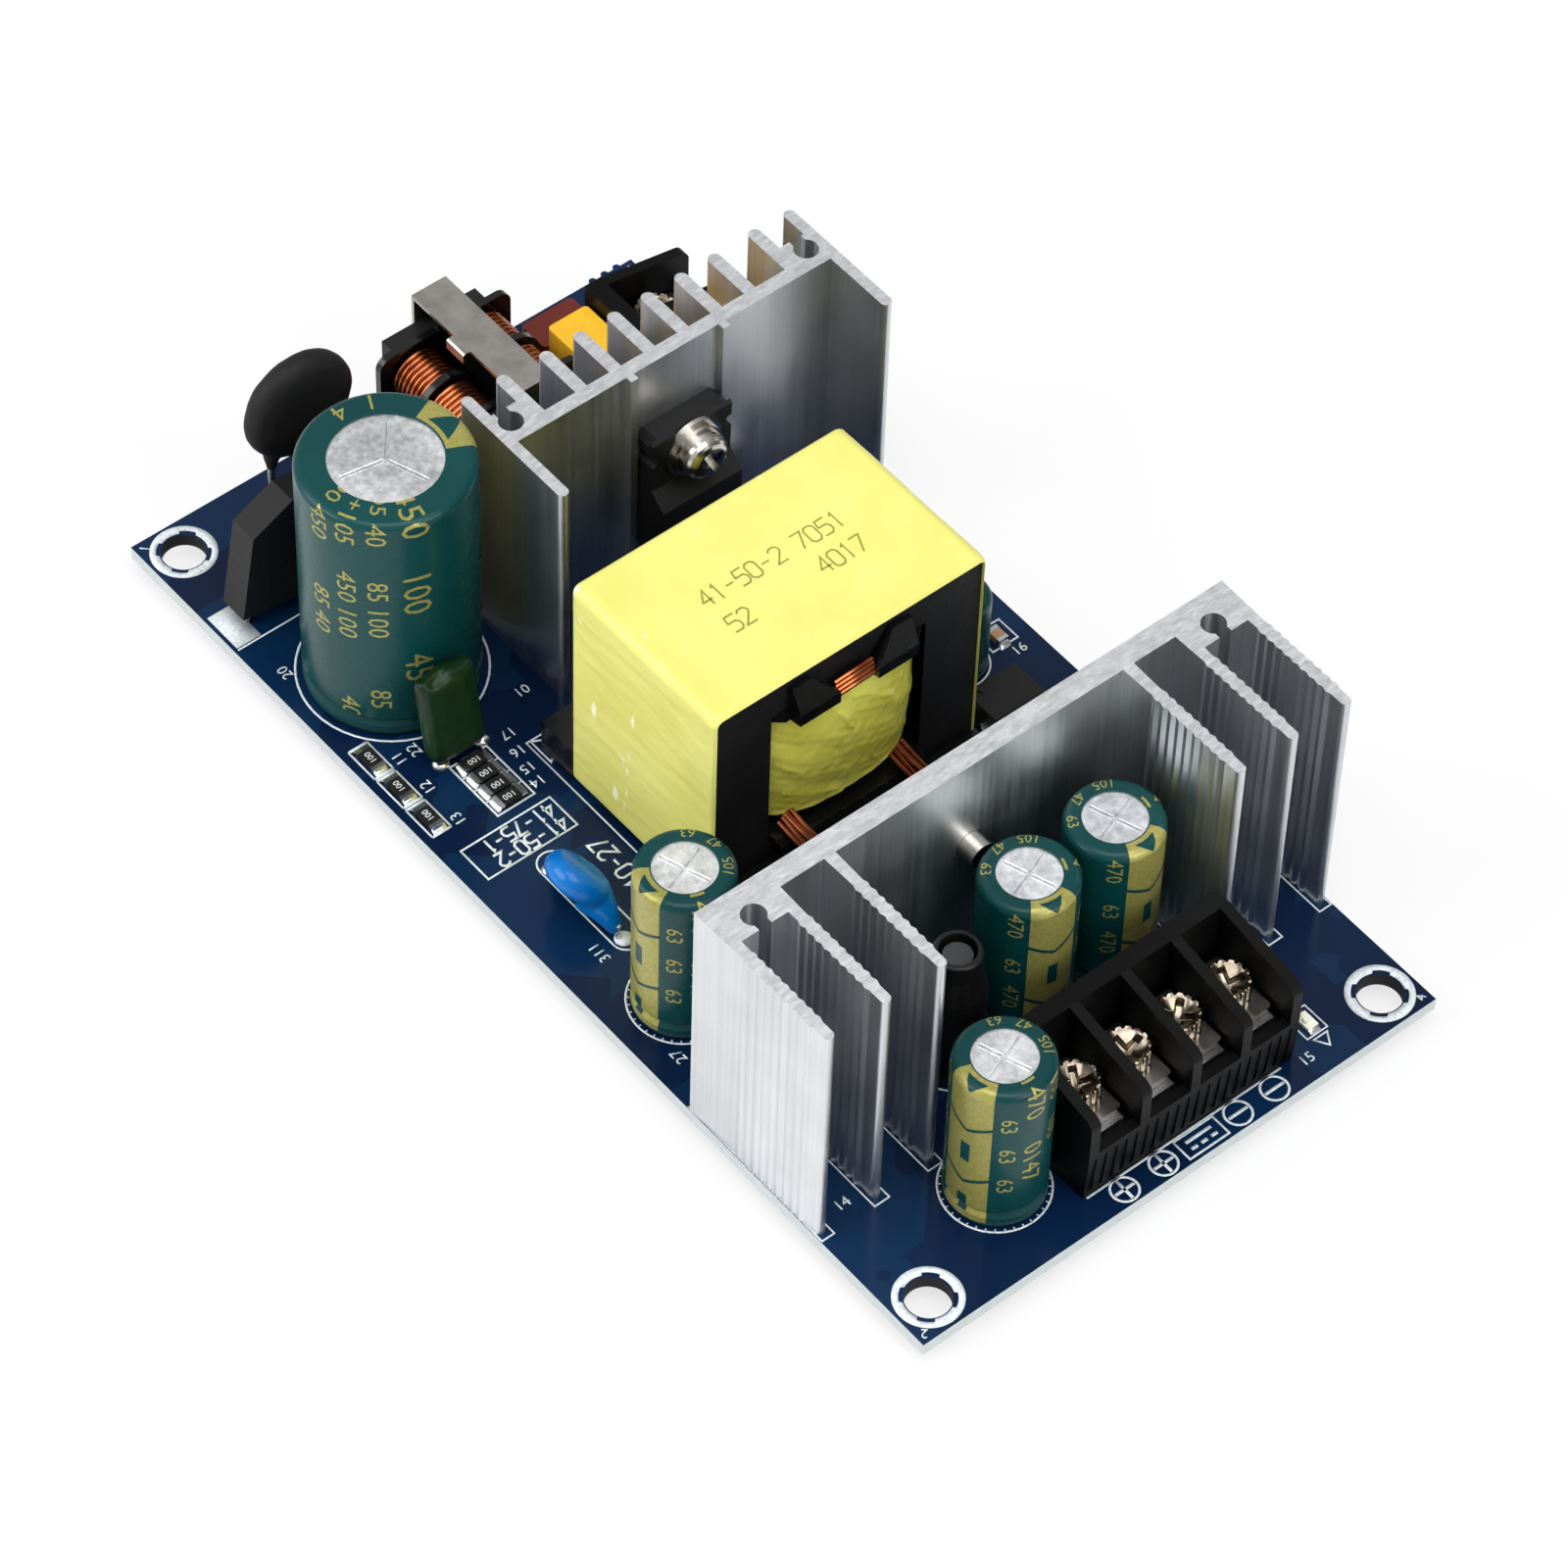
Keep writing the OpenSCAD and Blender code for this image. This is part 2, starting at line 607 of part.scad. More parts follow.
module transformer_bobbin() color([0.06, 0.06, 0.06]) on_board([transformer_x, transformer_y]) {
    flange_z1 = window_z1 - bobbin_gap - flange_t;
    flange_z0 = window_z0 + bobbin_gap;
    difference() {
        union() {
            translate([0, 0, flange_z0]) cylinder(r = tube_r, h = flange_z1 - flange_z0 + flange_t);
            for (z = [flange_z0, flange_z1]) translate([0, 0, z]) intersection() {
                cylinder(r = flange_r, h = flange_t, $fn = 96);
                translate([-rail_in, -flange_r, 0]) cube([2 * rail_in, 2 * flange_r, flange_t]);
            }
        }
        translate([0, 0, window_z0]) cylinder(d = post_d + 2 * bobbin_gap, h = core_h);
    }
    arm_half = opening_half - 0.4;
    for (side = [0, 1]) mirror([side, 0, 0]) difference() {
        union() {
            translate([rail_in - 1.2, -arm_half, flange_z0]) cube([2.4, 2 * arm_half, flange_t]);
            translate([rail_in, -arm_half, rail_top - eps]) cube([1.2, 2 * arm_half, flange_z0 - rail_top + 2 * eps]);
            translate([rail_in, -core_l / 2, rail_bottom]) cube([rail_depth, core_l, rail_top - rail_bottom]);
        }
        for (i = [0 : pin_count - 1]) translate([pin_x, (i - (pin_count - 1) / 2) * pin_pitch, 0])
            cylinder(d = pin_d + 2 * touch_gap, h = rail_top - 1, $fn = 24);
    }
    wire_hook(hook_inner[0], -1, flange_z1);
    wire_hook(hook_inner[1], 1, flange_z1);
}

// How far the winding reaches along the board, at a place across it
function winding_front(y) = winding_r * pow(1 - pow(abs(y) / winding_r, winding_power), 1 / winding_power);

// Winding under its crinkled tape: a squarish ring on a superellipse, with a slight belly
module transformer_winding() color([0.75, 0.74, 0.3]) on_board([transformer_x, transformer_y]) {
    z0 = window_z0 + bobbin_gap + flange_t + 0.1;
    z1 = window_z1 - bobbin_gap - flange_t - 0.1;
    steps = 6;
    sides = 64;
    points = [for (i = [0 : steps], k = [0 : sides - 1]) let (
        a = 360 * (k + 0.5) / sides,
        reach = winding_r - winding_belly * (1 - sin(180 * i / steps)),
        r = reach / pow(pow(abs(cos(a)), winding_power) + pow(abs(sin(a)), winding_power), 1 / winding_power))
        [r * cos(a), r * sin(a), z0 + (z1 - z0) * i / steps]];
    difference() {
        polyhedron(points, concat(
            [[for (k = [0 : sides - 1]) k]],
            [for (i = [0 : steps - 1], k = [0 : sides - 1]) let (a = i * sides, m = (k + 1) % sides)
                [a + k, a + sides + k, a + sides + m, a + m]],
            [[for (k = [0 : sides - 1]) steps * sides + sides - 1 - k]]));
        translate([0, 0, z0 - 1]) cylinder(r = tube_r + touch_gap, h = z1 - z0 + 2);
    }
}

// Tape band round the core, over its top, ends and underside
module transformer_tape() color([0.93, 0.95, 0.4]) on_board([transformer_x, transformer_y], core_mid_z)
    rotate([90, 0, 90]) translate([0, 0, -core_w / 2 - tape_t]) linear_extrude(core_w + 2 * tape_t) difference() {
        rounded_square([core_l + 2 * tape_t, core_h + 2 * tape_t], tape_corner);
        square([core_l, core_h], center = true);
    }

// Copper bundles from the winding over the rail, and the strands between the hooks
module transformer_leads() color([0.75, 0.38, 0.16]) on_board([transformer_x, transformer_y]) {
    leave_z = window_z0 + bobbin_gap + flange_t + 1.2;
    for (start = bundle_starts, i = [0 : bundle_wires - 1]) let (y = start + i * bundle_pitch, x = winding_front(y)) wire([
        [x - 0.1, y, leave_z],
        [max(x + 0.5, rail_in + 1.3), y + 0.2 * bundle_drift, leave_z - 0.8],
        [rail_in + 2.8, y + 0.5 * bundle_drift, rail_top + 1.3],
        [rail_in + rail_depth + 0.5, y + 0.95 * bundle_drift, rail_top + 0.4],
        [rail_in + rail_depth + 0.5, y + bundle_drift, 0.5]], bundle_d);
    strand_l = hook_inner[1] - hook_inner[0] - 2 * touch_gap;
    for (i = [0 : 1]) translate([rail_in + 0.4 * (i + 1), hook_inner[0] + touch_gap, hook_top - strand_drop - (bundle_d + 0.05) * i])
        rotate([-90, 0, 0]) cylinder(d = bundle_d, h = strand_l, $fn = 24);
}

module transformer_pins() color([0.72, 0.7, 0.65])
    for (p = transformer_pin_places) lead(p, pin_d, rail_top - 1 - touch_gap);

// Outline of a can of radius r and height h, from its underside to its top, with the crimp above its seal
function can_outline(r, h, z0) = concat(
    arc([r - 0.5, z0 + 0.5], 0.5, -90, 0),
    [[r, z0 + seal_h - 0.2], [r - groove_depth, z0 + seal_h + 0.4], [r, z0 + seal_h + 1]],
    arc([r - shoulder, h - shoulder], shoulder, 0, 90));

// Radius of the bare disc on top of a can
function disc_r(r) = r * 0.64;

module can(r, h, vents) {
    can_r = r - sleeve_t - touch_gap;
    can_h = h - sleeve_t - touch_gap;
    difference() {
        rotate_extrude() polygon(concat([[0, sleeve_t + seal_h], [r * 0.62, sleeve_t + seal_h], [r * 0.62, sleeve_t]],
            can_outline(can_r, can_h, sleeve_t), [[0, can_h]]));
        for (i = [0 : vents - 1]) rotate(i * 360 / vents + 20)
            translate([0, -0.15, can_h - 0.15]) cube([disc_r(r) * 0.86, 0.3, 1]);
    }
}

// Shrink sleeve: over the can's side, turned in over its shoulder and under its lower edge
module sleeve(r, h) rotate_extrude() {
    inner = can_outline(r - sleeve_t, h - sleeve_t, sleeve_t);
    n = len(inner);
    polygon(concat([[r * 0.8, 0]], can_outline(r, h, 0), [[disc_r(r), h], [disc_r(r), h - sleeve_t]],
        [for (i = [0 : n - 1]) inner[n - 1 - i]], [[r * 0.8, sleeve_t]]));
}

module bulk_capacitor_can() color([0.85, 0.86, 0.87]) on_board(bulk_place) can(bulk_r, bulk_h, 3);
module bulk_capacitor_sleeve() color([0.02, 0.25, 0.2]) on_board(bulk_place) sleeve(bulk_r, bulk_h);
module output_capacitor_cans() color([0.85, 0.86, 0.87])
    for (p = out_cap_places) on_board(p) can(out_cap_r, out_cap_h, 4);
module output_capacitor_sleeves() color([0.02, 0.28, 0.22])
    for (p = out_cap_places) on_board(p) sleeve(out_cap_r, out_cap_h);
module small_capacitor_cans() color([0.85, 0.86, 0.87]) {
    on_board(feedback_cap_place) can(small_cap_r, small_cap_h, 2);
    on_board(supply_cap_place) can(supply_cap_r, supply_cap_h, 2);
}
module small_capacitor_sleeves() color([0.05, 0.3, 0.24]) {
    on_board(feedback_cap_place) sleeve(small_cap_r, small_cap_h);
    on_board(supply_cap_place) sleeve(supply_cap_r, supply_cap_h);
}

// Rubber seal in the open end of each can
module seal(p, r, legs, leg_d) difference() {
    on_board(p, sleeve_t) cylinder(r = r * 0.62 - touch_gap, h = seal_h - touch_gap);
    for (q = legs) on_board(q) cylinder(d = leg_d + 2 * touch_gap, h = 2 * seal_h, $fn = 24);
}

module capacitor_seals() color([0.15, 0.15, 0.15]) {
    seal(bulk_place, bulk_r, bulk_leads, bulk_lead_d);
    for (p = out_cap_places) seal(p, out_cap_r, pair(p, out_cap_pitch, 90), out_cap_lead_d);
    seal(feedback_cap_place, small_cap_r, pair(feedback_cap_place, small_cap_pitch, 0), small_cap_lead_d);
    seal(supply_cap_place, supply_cap_r, pair(supply_cap_place, small_cap_pitch, 90), small_cap_lead_d);
}

module capacitor_leads() color([0.75, 0.75, 0.77]) {
    for (p = bulk_leads) lead(p, bulk_lead_d, sleeve_t + seal_h - touch_gap);
    for (p = out_cap_leads) lead(p, out_cap_lead_d, sleeve_t + seal_h - touch_gap);
    for (p = small_leads) lead(p, small_cap_lead_d, sleeve_t + seal_h - touch_gap);
}

// Coated thermistor disc, standing across the board on two long leads
module thermistor_disc() color([0.07, 0.07, 0.08]) on_board(thermistor_place, thermistor_z) rotate([0, 90, 0])
    rotate_extrude() polygon(lens_outline(thermistor_d / 2, thermistor_t));

module thermistor_leads() color([0.7, 0.7, 0.7]) difference() {
    for (p = thermistor_legs) lead(p, thermistor_lead_d, thermistor_z - 3);
    thermistor_disc();
}

// Bridge rectifier: a flat block with one cut corner, leaning along the board's end
module bridge_rectifier() color([0.09, 0.09, 0.1]) on_board(bridge_place, bridge_seat) rotate([-bridge_lean, 0, 0])
    rotate([90, 0, 90]) linear_extrude(bridge_t)
        polygon([[0, 0], [bridge_w, 0], [bridge_w, bridge_h], [4.5, bridge_h], [0, bridge_h - 3.2]]);

module bridge_rectifier_leads() color([0.7, 0.7, 0.7]) difference() {
    for (p = bridge_legs) lead(p, bridge_lead_d, bridge_seat + 1);
    bridge_rectifier();
}

// Common-mode choke: a ferrite frame with a coil on each long leg, lying flat above its base
module choke_core() color([0.13, 0.13, 0.14]) on_board(choke_place, choke_axis_z) {
    yoke_l = 2 * choke_coil_offset + choke_leg_w + 1.2;
    for (s = [-1, 1]) {
        translate([s * (choke_l - choke_yoke) / 2 - choke_yoke / 2, -yoke_l / 2, -choke_yoke_h / 2])
            cube([choke_yoke, yoke_l, choke_yoke_h]);
        translate([-choke_l / 2 + eps, s * choke_coil_offset - choke_leg_w / 2, -choke_leg_h / 2])
            cube([choke_l - 2 * eps, choke_leg_w, choke_leg_h]);
    }
}

choke_window = choke_l - 2 * choke_yoke - 0.2;
choke_flange_t = 0.8;
choke_section = (choke_window - 3 * choke_flange_t) / 2;
choke_turns = floor((choke_section - 0.1) / choke_wire_d);
choke_coil_r = choke_tube_r + choke_wire_d / 2 + 0.02;

module choke_bobbins() color([0.07, 0.07, 0.07]) for (s = [-1, 1]) on_board(choke_place, choke_axis_z)
    translate([0, s * choke_coil_offset, 0]) difference() {
        foot = choke_axis_z - choke_base_z - choke_base_t;
        inner = choke_coil_offset - choke_wall / 2 - 0.05;
        union() {
            translate([-choke_window / 2, 0, 0]) rotate([0, 90, 0]) cylinder(r = choke_tube_r - touch_gap, h = choke_window);
            for (i = [-1 : 1]) translate([i * (choke_window - choke_flange_t) / 2 - choke_flange_t / 2, 0, 0])
                intersection() {
                    union() {
                        if (i == 0) rotate([0, 90, 0]) cylinder(r = choke_mid_flange_r, h = choke_flange_t);
                        else rotate([90, 0, 90]) linear_extrude(choke_flange_t)
                            rounded_square([2 * choke_flange_r, choke_flange_h], choke_flange_corner);
                        translate([0, -2.6, -foot]) cube([choke_flange_t, 5.2, foot]);
                    }
                    translate([-1, s > 0 ? -inner : -10, -10]) cube([3, 10 + inner, 20]);
                }
        }
        translate([-choke_l, -choke_leg_w / 2 - 0.1, -choke_leg_h / 2 - 0.1])
            cube([2 * choke_l, choke_leg_w + 0.2, choke_leg_h + 0.2]);
    }

// Turns of wire side by side in each section of the two bobbins
module choke_windings() color([0.72, 0.38, 0.2]) for (s = [-1, 1], half = [-1, 1])
    on_board(choke_place, choke_axis_z)
    translate([half * (choke_section + choke_flange_t) / 2, s * choke_coil_offset, 0]) rotate([0, 90, 0])
    rotate_extrude() {
        for (i = [0 : choke_turns - 1])
            translate([choke_coil_r, (i - (choke_turns - 1) / 2) * choke_wire_d]) circle(d = choke_wire_d, $fn = 24);
        translate([choke_tube_r, -(choke_turns - 1) * choke_wire_d / 2])
            square([choke_coil_r - choke_tube_r, (choke_turns - 1) * choke_wire_d]);
    }

module choke_base() color([0.06, 0.06, 0.06]) on_board(choke_place, choke_base_z) difference() {
    base_l = choke_l - 0.4;
    base_w = 2 * (choke_coil_offset + 2.7);
    union() {
        rounded_box([base_l, base_w, choke_base_t], 0.8);
        translate([-choke_window / 2, -choke_wall / 2, 0])
            cube([choke_window, choke_wall, choke_partition_h - choke_base_z]);
    }
    for (sx = [-1, 1], sy = [-1, 1]) translate([sx * (choke_l / 2 - 2.6), sy * (choke_coil_offset + 1.4), -1])
        cylinder(d = choke_pin_d + 2 * touch_gap, h = choke_base_t + 0.4, $fn = 24);
}

// Sprung steel strap over the partition, bent down over both yokes, with a small folded tab at its middle
module choke_clip() color([0.6, 0.6, 0.58]) on_board([choke_place[0], choke_place[1] + clip_shift]) {
    translate([-choke_l / 2 - clip_t, -clip_w / 2, choke_partition_h]) cube([choke_l + 2 * clip_t, clip_w, clip_t]);
    for (s = [-1, 1]) translate([s * (choke_l + clip_t) / 2 - clip_t / 2, -clip_w / 2, choke_axis_z - 2.6])
        cube([clip_t, clip_w, choke_partition_h - choke_axis_z + 2.6 + eps]);
    translate([-clip_tab[0] * 0.6, -clip_w / 2, choke_partition_h]) rotate([90, 0, 90]) linear_extrude(clip_tab[0])
        polygon([[0.1, 0], [-clip_tab[1] + clip_t, 0], [-clip_tab[1] + clip_t, clip_t - clip_tab[2]],
            [-clip_tab[1], clip_t - clip_tab[2]], [-clip_tab[1], clip_t * 0.6], [-clip_tab[1] + 0.2, clip_t], [0.1, clip_t]]);
}

module choke_pins() color([0.7, 0.7, 0.7])
    for (p = choke_legs) lead(p, choke_pin_d, choke_base_z + choke_base_t - 0.62);

module box_capacitor() color([0.93, 0.6, 0.12]) on_board(box_cap_place, 0.2)
    rounded_box([box_cap_l, box_cap_w, box_cap_h - 0.2], 0.5);
module box_capacitor_leads() color([0.7, 0.7, 0.7]) for (p = box_cap_legs) lead(p, small_cap_lead_d, 0.2);

module fuse_body() color([0.36, 0.13, 0.1]) on_board(fuse_place, 0.2)
    rounded_box([fuse_size[0], fuse_size[1], fuse_h - 0.2], 0.5);
module fuse_leads() color([0.7, 0.7, 0.7]) for (p = fuse_legs) lead(p, small_cap_lead_d, 0.2);

// Side of the terminal housing: a level rail, a top that slopes down to a round corner, and a front slanted at its foot
function wall_outline() = let (
    slope = atan2(wall_drop, terminal_depth - rail_t),
    x = terminal_depth - wall_round,
    z = terminal_h - (x - rail_t) * tan(slope) - wall_round / cos(slope))
    concat([[0, 0], [terminal_depth - front_slant, 0], [terminal_depth, lip_h - 1.4]],
        arc([x, z], wall_round, 0, 90 - slope), [[rail_t, terminal_h], [0, terminal_h]]);

// Terminal housing: a back rail, a wall beside each cell, a floor and a ribbed lip
module terminal_housing(cells) {
    row = cells * cell_pitch + cell_wall;
    lip_y = terminal_depth - lip_t;
    difference() {
        translate([-row / 2, 0, 0]) rotate([90, 0, 90]) linear_extrude(row) polygon(wall_outline());
        for (i = [0 : cells - 1]) translate([(i - (cells - 1) / 2) * cell_pitch, 0, 0]) {
            half = (cell_pitch - cell_wall) / 2;
            translate([-half, rail_t, cell_floor]) cube([2 * half, lip_y - rail_t, terminal_h]);
            translate([-half, rail_t, lip_h]) cube([2 * half, terminal_depth, terminal_h]);
            translate([0, screw_y, cell_floor - 4.2]) cylinder(d = clamp_shank_d + 0.3, h = 5);
            translate([-contact_leg / 2 - touch_gap, contact_leg_y - contact_leg / 2 - touch_gap, -1])
                cube([contact_leg + 2 * touch_gap, contact_leg + 2 * touch_gap, cell_floor + 2]);
        }
        for (i = [0 : floor(row / groove_pitch) - 1])
            translate([-row / 2 + 0.9 + i * groove_pitch, 0, 0.8]) rotate([90, 0, 90]) linear_extrude(groove_w) polygon([
                [terminal_depth - front_slant - groove_t, 0], [terminal_depth - groove_t, lip_h - 2.2],
                [terminal_depth - groove_t, lip_h - 1.6], [terminal_depth + 1, lip_h - 1.6], [terminal_depth + 1, 0]]);
    }
}

// Places children at each terminal cell, rail to the origin and lip towards +Y
module at_output_terminal() on_board([output_rail_x, output_row_y]) rotate(-90) children();
module at_input_terminal() on_board([input_row_x, input_rail_y]) children();
module each_cell() {
    at_output_terminal() for (i = [0 : output_cells - 1])
        translate([(i - (output_cells - 1) / 2) * cell_pitch, 0, 0]) children();
    at_input_terminal() for (i = [0 : input_cells - 1])
        translate([(i - (input_cells - 1) / 2) * cell_pitch, 0, 0]) children();
}

module output_terminal_housing() color([0.1, 0.1, 0.11]) at_output_terminal() terminal_housing(output_cells);
module input_terminal_housing() color([0.1, 0.1, 0.11]) at_input_terminal() terminal_housing(input_cells);

// Contact strip on each cell's floor, with its leg down through the housing and the board
module terminal_contacts() color([0.72, 0.7, 0.62]) each_cell() {
    front = terminal_depth - lip_t - 0.6;
    difference() {
        translate([-contact_w / 2, contact_leg_y - contact_leg / 2, cell_floor])
            cube([contact_w, front - contact_leg_y + contact_leg / 2, contact_t]);
        translate([0, screw_y, 0]) cylinder(d = clamp_shank_d + 0.2, h = terminal_h);
    }
    translate([-contact_leg / 2, contact_leg_y - contact_leg / 2, -board_t - lead_tail])
        cube([contact_leg, contact_leg, cell_floor + board_t + lead_tail + eps]);
}

module terminal_clamp_plates() color([0.82, 0.82, 0.84]) each_cell() translate([0, screw_y + 0.2, clamp_z])
    difference() {
        rounded_box([clamp_w, clamp_l, clamp_t], 0.4);
        translate([0, -0.2, -1]) cylinder(d = clamp_shank_d + 0.3, h = clamp_t + 2);
    }

// Pan head with a cross recess on a shank, head upwards, underside of the head at z = 0
module pan_screw(head_d, head_h, shank_d, shank_l) difference() {
    union() {
        rotate_extrude() polygon(concat([[0, 0], [head_d / 2, 0], [head_d / 2, head_h * 0.35]],
            arc([head_d / 2 - head_h * 0.65, head_h * 0.35], head_h * 0.65, 0, 90), [[0, head_h]]));
        translate([0, 0, -shank_l]) cylinder(d = shank_d, h = shank_l + eps);
    }
    for (turn = [0, 90]) rotate(turn + 25) translate([-head_d * 0.3, -head_d * 0.07, head_h * 0.45])
        cube([head_d * 0.6, head_d * 0.14, head_h]);
}

module terminal_screws() color([0.8, 0.79, 0.76]) each_cell() translate([0, screw_y, clamp_z + clamp_t])
    pan_screw(clamp_head_d, clamp_head_h, clamp_shank_d, clamp_t + contact_t + 3.6);

// A pillow standing on its edge: round all along its rim, w wide along Y, h high and 2 r thick
module pillow(w, h, r) {
    translate([-r, -w / 2 + r, r]) cube([2 * r, w - 2 * r, h - 2 * r]);
    for (sy = [-1, 1]) translate([0, sy * (w / 2 - r), r]) {
        cylinder(r = r, h = h - 2 * r);
        for (z = [0, 1]) translate([0, 0, z * (h - 2 * r)]) sphere(r = r);
    }
    for (z = [r, h - r]) translate([0, -w / 2 + r, z]) rotate([-90, 0, 0]) cylinder(r = r, h = w - 2 * r);
}

// Dipped film capacitor, leaning towards the input end
module film_capacitor() color([0.03, 0.2, 0.13]) on_board(film_place, 1) rotate([0, film_lean, 0])
    pillow(film_size[1], film_size[2], film_size[0] / 2);

module film_capacitor_leads() color([0.7, 0.7, 0.7]) difference() {
    for (p = film_legs) lead(p, small_cap_lead_d, 3.4);
    film_capacitor();
}

// Dipped disc capacitor, leaning out over the board's edge, its coating run down to its leads
module disc_capacitor() color([0.04, 0.36, 0.8]) on_board(disc_place, disc_z) {
    rotate([90 + disc_lean, 0, 0]) rotate_extrude() polygon(lens_outline(disc_d / 2, disc_t));
    for (s = [-1, 1]) translate([s * disc_coat_out, disc_lead_y - disc_place[1], -1.9]) rotate([0, s * disc_coat_turn, 0])
        cylinder(r1 = 1.5, r2 = 0.55, h = 3.1, $fn = 24);
}

module disc_capacitor_leads() color([0.7, 0.7, 0.7]) difference() {
    for (p = disc_legs) lead(p, small_cap_lead_d, 1.8);
    disc_capacitor();
}

// Moulded power package, its back on the plane x = 0 and its screw hole at the origin: a thin tab above a
// thicker body, with a sloped step between them and a notch at each side of the tab
module power_package() {
    low = package_top - package_h;
    step = package_top - package_tab_l;
    difference() {
        translate([0, package_w / 2, 0]) rotate([90, 0, 0]) linear_extrude(package_w) polygon([
            [0, low], [package_t - 0.3, low], [package_t, low + 1.2], [package_t, step - 1.6], [package_tab_t, step],
            [package_tab_t, package_top - 0.4], [package_tab_t - 0.4, package_top], [0, package_top]]);
        translate([-1, 0, 0]) rotate([0, 90, 0]) cylinder(d = package_hole_d, h = package_t + 2);
        for (s = [-1, 1]) {
            translate([-1, s * package_w / 2, 0.4]) rotate([0, 90, 0]) cylinder(r = 0.8, h = package_t + 2);
            translate([-1, s * package_w / 2, package_top]) rotate([45, 0, 0]) cube([package_t + 2, 1.1, 1.1], center = true);
        }
    }
}

module at_transistor() on_board([in_web_x, transistor_y], transistor_screw_z) children();
module at_rectifier() on_board([out_sink_x, rectifier_y], rectifier_screw_z) mirror([1, 0, 0]) children();

module power_transistor() color([0.08, 0.08, 0.09]) at_transistor() rotate([-transistor_lean, 0, 0]) power_package();
module output_rectifier() color([0.08, 0.08, 0.09]) at_rectifier() power_package();

module power_package_leads() color([0.7, 0.7, 0.7]) difference() {
    union() {
        for (p = transistor_legs) lead(p, package_leg_d, transistor_screw_z - transistor_drop + 2);
        for (p = rectifier_legs) lead(p, package_leg_d, rectifier_screw_z - transistor_drop + 2);
    }
    power_transistor();
    output_rectifier();
}

module washer(d, t) difference() {
    cylinder(d = d, h = t);
    translate([0, 0, -1]) cylinder(d = screw_d + 0.3, h = t + 2);
}

// Flat washer and split spring washer under each package screw
module washer_stack() translate([package_tab_t, 0, 0]) rotate([0, 90, 0]) {
    washer(washer_d, flat_washer_t);
    translate([0, 0, flat_washer_t]) difference() {
        washer(washer_d - 1, spring_washer_t);
        rotate(40) translate([0, -0.25, -1]) cube([washer_d, 0.5, 3]);
    }
}

module power_package_washers() color([0.82, 0.82, 0.83]) {
    at_transistor() washer_stack();
    at_rectifier() washer_stack();
}

module package_screw(web, tail) {
    under_head = package_tab_t + flat_washer_t + spring_washer_t;
    translate([under_head, 0, 0]) rotate([0, 90, 0])
        pan_screw(screw_head_d, screw_head_h, screw_d, under_head + web + tail);
}

module power_package_screws() color([0.8, 0.78, 0.74]) {
    at_transistor() package_screw(in_web_t, transistor_screw_tail);
    at_rectifier() package_screw(out_web_t, rectifier_screw_tail);
}

module optocoupler() color([0.06, 0.06, 0.07]) on_board(opto_place, 0.7) difference() {
    rounded_box(opto_size, 0.2);
    translate([-1.4, -2.4, opto_size[2] - 0.2]) cylinder(r = 0.5, h = 1, $fn = 24);
}

module optocoupler_legs() color([0.72, 0.72, 0.72]) {
    for (p = opto_legs) lead(p, small_cap_lead_d, 2.2);
    reach = opto_row / 2 - opto_size[1] / 2;
    for (sx = [-1, 1], s = [-1, 1]) on_board([opto_place[0] + sx * 1.27, opto_place[1] + s * opto_size[1] / 2], 2.2)
        translate([-0.6, s > 0 ? 0 : -reach, -0.3]) cube([1.2, reach, 0.3]);
}

// Chip resistor or capacitor body between its end caps
module chip_body(size) translate([-size[0] / 2 + chip_cap_l, -size[1] / 2, 0.05])
    cube([size[0] - 2 * chip_cap_l, size[1], size[2] - 0.05]);
module chip_ends(size) for (s = [0, 1]) mirror([s, 0, 0])
    translate([-size[0] / 2, -size[1] / 2, 0]) cube([chip_cap_l, size[1], size[2] + 0.03]);

module each_resistor() {
    for (x = resistor_row_x) on_board([x, resistor_row_y]) children();
    for (x = resistor_column_x) on_board([x, resistor_column_y]) rotate(90) children();
}

module chip_resistors() color([0.1, 0.1, 0.11]) each_resistor() chip_body(chip_size);
chip_capacitor_size = [2, 1.25, 0.9];
module chip_capacitor() color([0.6, 0.48, 0.36]) on_board(chip_capacitor_place) chip_body(chip_capacitor_size);
module chip_end_caps() color([0.8, 0.8, 0.82]) {
    each_resistor() chip_ends(chip_size);
    on_board(chip_capacitor_place) chip_ends(chip_capacitor_size);
}

// Chip lamp: a flat base with a domed lens
module indicator_lamp() color([0.95, 0.95, 0.9]) on_board(lamp_place) {
    translate([-1, -0.65, 0]) cube([2, 1.3, 0.4]);
    translate([0, 0, 0.3]) cylinder(r1 = 0.6, r2 = 0.45, h = 0.5, $fn = 24);
}

